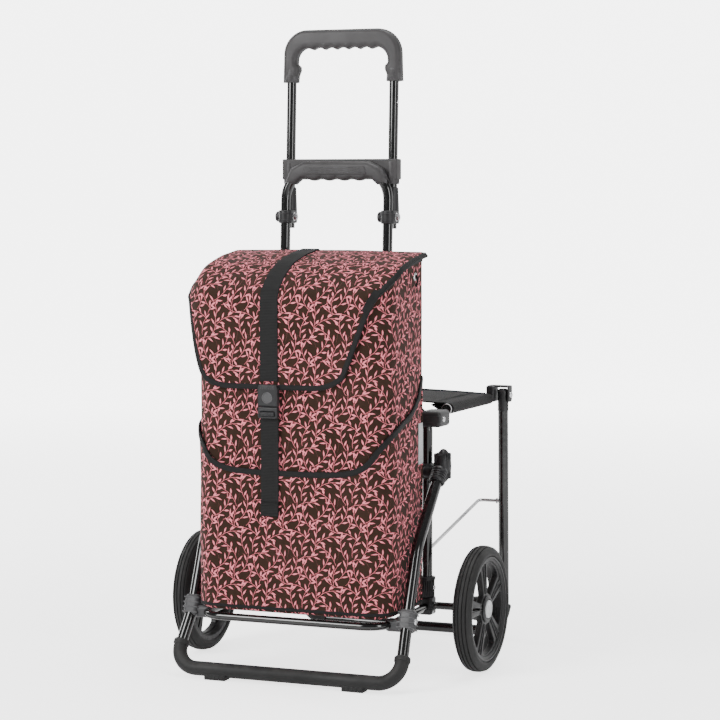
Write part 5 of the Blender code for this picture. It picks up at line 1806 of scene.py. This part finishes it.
@dataclass
class Lid:
    """The flap that covers the bag's mouth and hangs down its front."""

    shape: BagShape
    lowest: float = 0.459
    roof_starts: float = 0.120         # distances up the lid's middle, from its lower edge
    roof_full: float = 0.215
    clearance: float = 0.0046
    strap_x: float = -0.028
    route: Path = field(init=False)
    right: tuple[Flat, ...] = ((0.0, 0.040), (0.003, 0.062), (0.008, 0.078), (0.018, 0.0925),
                               (0.035, 0.1010), (0.070, 0.1150), (0.115, 0.1330), (0.150, 0.1515),
                               (0.185, 0.1660), (0.215, 0.1698), (0.33, 0.1698))
    left: tuple[Flat, ...] = ((0.0, 0.090), (0.002, 0.110), (0.006, 0.128), (0.014, 0.1410),
                              (0.028, 0.1500), (0.060, 0.1610), (0.115, 0.1760), (0.150, 0.1830),
                              (0.185, 0.1860), (0.215, 0.1865), (0.33, 0.1865))

    def __post_init__(self) -> None:
        """Lay out the lid's middle line, from its lower edge up the front and over the rim."""
        front = self.shape.front - self.clearance
        over = self.clearance + 0.0010
        corners = [(0, front, self.lowest), (0, front, 0.6035), (0, -0.1880, 0.6170 + over + 0.002),
                   (0, -0.1530, 0.6395 + over), (0, -0.1000, 0.6520 + over), (0, -0.0500, 0.6585 + over)]
        self.route = Path(rounded_route(corners, [0.026, 0.050, 0.10, 0.20], 0.08))

    def bend(self, side: float, up: float) -> Flat:
        """Half width and corner radius at a distance up."""
        share = eased((up - self.roof_starts) / (self.roof_full - self.roof_starts))
        if side > 0:
            front, roof = (0.1678, 0.0448), (0.1682, 0.0090)
        else:
            front, roof = (0.1900, 0.0600), (0.1715, 0.0160)
        return front[0] + (roof[0] - front[0]) * share, front[1] + (roof[1] - front[1]) * share

    def at(self, across: float, up: float, grow: float = 0.0) -> tuple[Vector, Vector]:
        """The lid's point and outward normal.

        Args:
            across: Signed distance from the middle over the cloth.
            up: Distance from the lower edge along the middle line.
            grow: How far out from the lid's outer face.

        Returns:
            The place and the normal.
        """
        heading = self.route.heading(up)
        out = Vector((1, 0, 0)).cross(heading).normalized()
        half, radius = self.bend(across, up)
        run, flat = abs(across), 0.0
        flat = half - radius
        if run <= flat:
            x, drop, angle = run, 0.0, 0.0
        else:
            angle = min((run - flat) / radius, math.pi / 2)
            x = flat + radius * math.sin(angle)
            drop = radius * (1 - math.cos(angle)) + max(0.0, run - flat - radius * math.pi / 2)
        sign = math.copysign(1.0, across)
        normal = (out * math.cos(angle) + Vector((sign * math.sin(angle), 0, 0))).normalized()
        ripple = 0.0010 * noise.noise(Vector((across * 13, up * 11, 5.5)))
        crown = 0.0022 * math.cos(min(run / 0.17, 1.0) * math.pi / 2)
        place = self.route.at(up) + Vector((sign * x, 0, 0)) - out * drop
        return place + normal * (grow + ripple * 0.8 + crown + 0.0008), normal

    def settle(self, across: float, along: float) -> tuple[Vector, Flat]:
        """A point of the flap; rows are closer where its lower corners turn."""
        up = self.rows(along)
        left, right = -along_table(self.left, up), along_table(self.right, up)
        run = left + (right - left) * across
        return self.at(run, up)[0], (run, up + self.lowest)

    def rows(self, along: float) -> float:
        """The distance up at a share of the rows."""
        return self.route.length * (0.35 * along ** 2.4 + 0.65 * along ** 1.25)

    def build(self) -> None:
        """Build the flap, its bound edge, its label, and the strap with its buckle."""
        flap = Shape().cloth(170, 170, self.settle).publish("bag_lid_flap", CANVAS, "lid", ["bag_lid"],
                                                            extra=(LINING,))
        wall(flap, 0.0018, inner=1)
        tape = self.binding()
        self.label()
        self.strap()
        self.buckle()

    def binding(self) -> bpy.types.Object:
        """The tape that binds the flap's free edge."""
        ups = [self.rows(k / 110) for k in range(111)]
        inset = 0.0024
        line = [self.at(-along_table(self.left, up) + inset, max(up, 0.0012), -0.0009)
                for up in reversed(ups)]
        low, high = -along_table(self.left, 0.0), along_table(self.right, 0.0)
        line += [self.at(low + (high - low) * k / 30, 0.0012, -0.0009) for k in range(1, 30)]
        line += [self.at(along_table(self.right, up) - inset, max(up, 0.0012), -0.0009) for up in ups]
        return Shape().band(line, 0.0086, 0.0046).publish("lid_edge_tape", TAPE, "lid")

    def label(self) -> None:
        """A blank cloth label folded over the flap's right edge."""
        ups = [0.118 + 0.034 * k / 12 for k in range(13)]
        line = [self.at(along_table(self.right, up) - 0.0050, up, 0.0016) for up in ups]
        Shape().band(line, 0.0125, 0.0016, squareness=0.25).publish("lid_label_blank", TAPE, "lid")

    def strap(self) -> None:
        """The closing strap over the lid, its free end below the buckle and its sewn root behind."""
        top = self.route.length
        line = [self.at(self.strap_x, 0.010 + (top - 0.012) * k / 120, 0.0012) for k in range(121)]
        Shape().band(line, 0.030, 0.0020, squareness=0.22).publish(
            "strap_upper_webbing", WEBBING, "lid", ["strap_upper"])
        low, high, wall_shape = 0.260, 0.452, self.shape
        tail = [wall_shape.at(self.strap_x, low + (high - low) * k / 80, 0.0052) for k in range(81)]
        fold = [wall_shape.at(self.strap_x, low + 0.0008 + 0.020 * k / 16, 0.0068) for k in range(17)]
        shape = Shape().band(tail, 0.030, 0.0018, squareness=0.22)
        shape.band(fold, 0.0296, 0.0018, squareness=0.22)
        for z in (low + 0.0045, low + 0.0165):
            for step in range(7):
                place, _ = wall_shape.at(self.strap_x + 0.0038 * (step - 3), z, 0.0078)
                shape.block(place - Vector((0.0013, 0.0003, 0.0003)),
                            place + Vector((0.0013, 0.0003, 0.0003)), 0.0002, 1)
        shape.publish("strap_lower_webbing", WEBBING, "chassis", ["strap_lower"])

    def buckle(self) -> None:
        """The buckle's two halves and its release bar, with a plain disc on its face."""
        x, front = self.strap_x, -0.2215
        upper = rounded_outline([(x - 0.0165, 0.4302), (x + 0.0165, 0.4302), (x + 0.0158, 0.4640),
                                 (x - 0.0158, 0.4640)], [0.0012, 0.0012, 0.0030, 0.0030])
        shape = Shape().plate([upper], 0.0090, 0.0018, FACE_FRONT, (0, front + 0.0052, 0), 4)
        shape.block((x - 0.0165, front + 0.0012, 0.4308), (x - 0.0142, front + 0.0110, 0.4600), 0.0010, 3)
        shape.block((x + 0.0142, front + 0.0012, 0.4308), (x + 0.0165, front + 0.0110, 0.4600), 0.0010, 3)
        for step in range(3):
            z = 0.4580 + 0.0020 * step
            shape.block((x - 0.0120, front + 0.0004, z - 0.0005),
                        (x + 0.0120, front + 0.0020, z + 0.0005), 0.0004, 2)
        shape.publish("buckle_upper_moulding", PLASTIC, "lid", ["buckle_upper"])
        disc = Shape().lathe([(0, 0), (0, 0.0084), (0.0007, 0.0088), (0.0012, 0.0084), (0.0012, 0.0076),
                              (0.0006, 0.0072), (0.0006, 0)], (x, front + 0.0009, 0.4440), (0, -1, 0), 48)
        disc.publish("buckle_disc_plain", GREY_PLASTIC, "lid")
        frame_low = rounded_outline([(x - 0.0165, 0.4120), (x + 0.0165, 0.4120), (x + 0.0165, 0.4294),
                                     (x - 0.0165, 0.4294)], [0.0034, 0.0034, 0.0010, 0.0010])
        window = rounded_outline([(x - 0.0122, 0.4148), (x + 0.0122, 0.4148), (x + 0.0122, 0.4227),
                                  (x - 0.0122, 0.4227)], 0.0012)
        lower = Shape().plate([frame_low, window], 0.0086, 0.0013, FACE_FRONT, (0, front + 0.0056, 0), 3)
        lower.block((x - 0.0124, front + 0.0052, 0.4146), (x + 0.0124, front + 0.0098, 0.4229), 0.0004, 2)
        lower.publish("buckle_lower_moulding", PLASTIC, "chassis", ["buckle_lower"])
        bar = Shape().block((x - 0.0115, front - 0.0010, 0.4155), (x + 0.0115, front + 0.0022, 0.4220),
                            0.0012, 4)
        for step in range(5):
            z = 0.4166 + 0.0011 * step
            bar.block((x - 0.0098, front - 0.0013, z - 0.0002), (x + 0.0098, front + 0.0002, z + 0.0002),
                      0.0002, 1)
        bar.publish("buckle_release_moulding", PLASTIC, "buckle_press", ["buckle_release"])


# ---------------------------------------------------------------- studio
@dataclass(frozen=True)
class Panel:
    """A soft box: its place, the point it faces, its size in metres and its power in watts."""

    name: str
    place: tuple[float, float, float]
    aim: tuple[float, float, float]
    width: float
    height: float
    power: float

    def build(self) -> None:
        """Hang the panel."""
        light = bpy.data.lights.new(self.name, "AREA")
        light.shape = "RECTANGLE"
        light.size, light.size_y, light.energy = self.width, self.height, self.power
        lamp = bpy.data.objects.new(self.name, light)
        bpy.context.scene.collection.objects.link(lamp)
        lamp.location = Vector(self.place)
        toward = Vector(self.aim) - Vector(self.place)
        lamp.rotation_euler = toward.to_track_quat("-Z", "Y").to_euler()


@dataclass
class Studio:
    """Pale floor, soft light and the camera."""

    camera_place: Vector = field(default_factory=lambda: Vector((1.508, -3.574 + AXLE_Y, 0.771)))
    tilt: float = 85.83
    heading: float = 22.4
    lens: float = 120.7
    near_glow: float = 2.2
    far_glow: float = 5.0
    cast_share: float = 0.16      # of the floor's glow that lights the trolley
    surround: float = 0.24        # the world's strength
    floor_width: float = 80.0
    floor_front: float = -40.0
    floor_rear: float = 7.0       # where the floor turns up
    floor_bend: float = 2.5
    floor_drop: float = 0.0004    # below the feet
    panels: tuple[Panel, ...] = (
        Panel("key", (-1.5, -2.8, 2.0), (0, -0.1, 0.5), 1.5, 1.8, 125.0),
        Panel("fill", (2.8, -1.5, 1.3), (0, 0, 0.5), 0.7, 2.2, 48.0),
        Panel("top", (0.2, 0.1, 3.0), (0, 0, 0.5), 1.6, 1.6, 60.0),
        Panel("strip", (-2.2, 0.8, 1.2), (0, 0, 0.5), 0.3, 2.2, 24.0))

    def build(self) -> None:
        """Build the studio."""
        self.floor()
        self.light()
        self.camera()

    def floor(self) -> None:
        """A broad pale floor that curves up far behind."""
        part = Shape()
        run = rounded_route([(0, self.floor_front, -self.floor_drop),
                             (0, self.floor_rear, -self.floor_drop), (0, self.floor_rear, 6.0)],
                             [self.floor_bend], 0.05)
        path = Path(run)
        part.cloth(2, 240, lambda a, b: (
            Vector(((a - 0.5) * self.floor_width, *path.at(path.length * b).yz)), (a, b)))
        mesh = bpy.data.meshes.new("studio_floor")
        part.mesh.to_mesh(mesh)
        part.mesh.free()
        mesh.shade_smooth()
        floor = bpy.data.objects.new("studio_floor", mesh)
        bpy.context.scene.collection.objects.link(floor)
        material = bpy.data.materials.new("Pale floor")
        material.use_nodes = True
        wiring = Wiring(material.node_tree)
        surface = material.node_tree.nodes["Principled BSDF"].inputs
        place = wiring.add("ShaderNodeTexCoord").outputs["Object"]
        wiring.feed(surface["Base Color"], wiring.mix(
            wiring.speckle(place, 1.5), (0.90, 0.90, 0.90), (0.92, 0.92, 0.92)))
        surface["Roughness"].default_value = 0.9
        away = wiring.vector("LENGTH", place).outputs["Value"]
        seen = wiring.add("ShaderNodeLightPath").outputs["Is Camera Ray"]
        glow = wiring.calc("MULTIPLY", wiring.spread(away, 0.6, 4.5, self.near_glow, self.far_glow),
                           wiring.spread(seen, 0.0, 1.0, self.cast_share, 1.0))
        wiring.feed(surface["Emission Color"],
                    wiring.add("ShaderNodeCombineColor", {0: glow, 1: glow, 2: glow}).outputs[0])
        surface["Emission Strength"].default_value = 1.0
        mesh.materials.append(material)

    def light(self) -> None:
        """A dim white surround and the soft boxes."""
        world = bpy.data.worlds.new("Studio")
        bpy.context.scene.world = world
        world.use_nodes = True
        surround = world.node_tree.nodes["Background"].inputs
        surround["Color"].default_value = (1.0, 1.0, 1.0, 1.0)
        surround["Strength"].default_value = self.surround
        for panel in self.panels:
            panel.build()

    def camera(self) -> None:
        """The camera, a little above the bag and to its right."""
        data = bpy.data.cameras.new("camera")
        data.lens, data.sensor_width = self.lens, 36.0
        data.clip_end = 60.0
        camera = bpy.data.objects.new("camera", data)
        bpy.context.scene.collection.objects.link(camera)
        camera.location = self.camera_place
        camera.rotation_euler = (math.radians(self.tilt), 0.0, math.radians(self.heading))
        bpy.context.scene.camera = camera


def main() -> None:
    """Build every sub-assembly in order."""
    logging.basicConfig(level=logging.INFO, format="%(name)s: %(message)s", stream=sys.stdout)
    make_effects()
    tubes = TubeFrame()
    tubes.build()
    FrameFittings(tubes).build()
    FrontFeet(tubes).build()
    LowerGrip(tubes).build()
    PullHandle(tubes).build()
    for side in Side:
        Wheel.of(side).build()
    Seat().build()
    bag = BagShape()
    Bag(bag).build()
    Lid(bag).build()
    Studio().build()


if __name__ == "__main__":
    main()
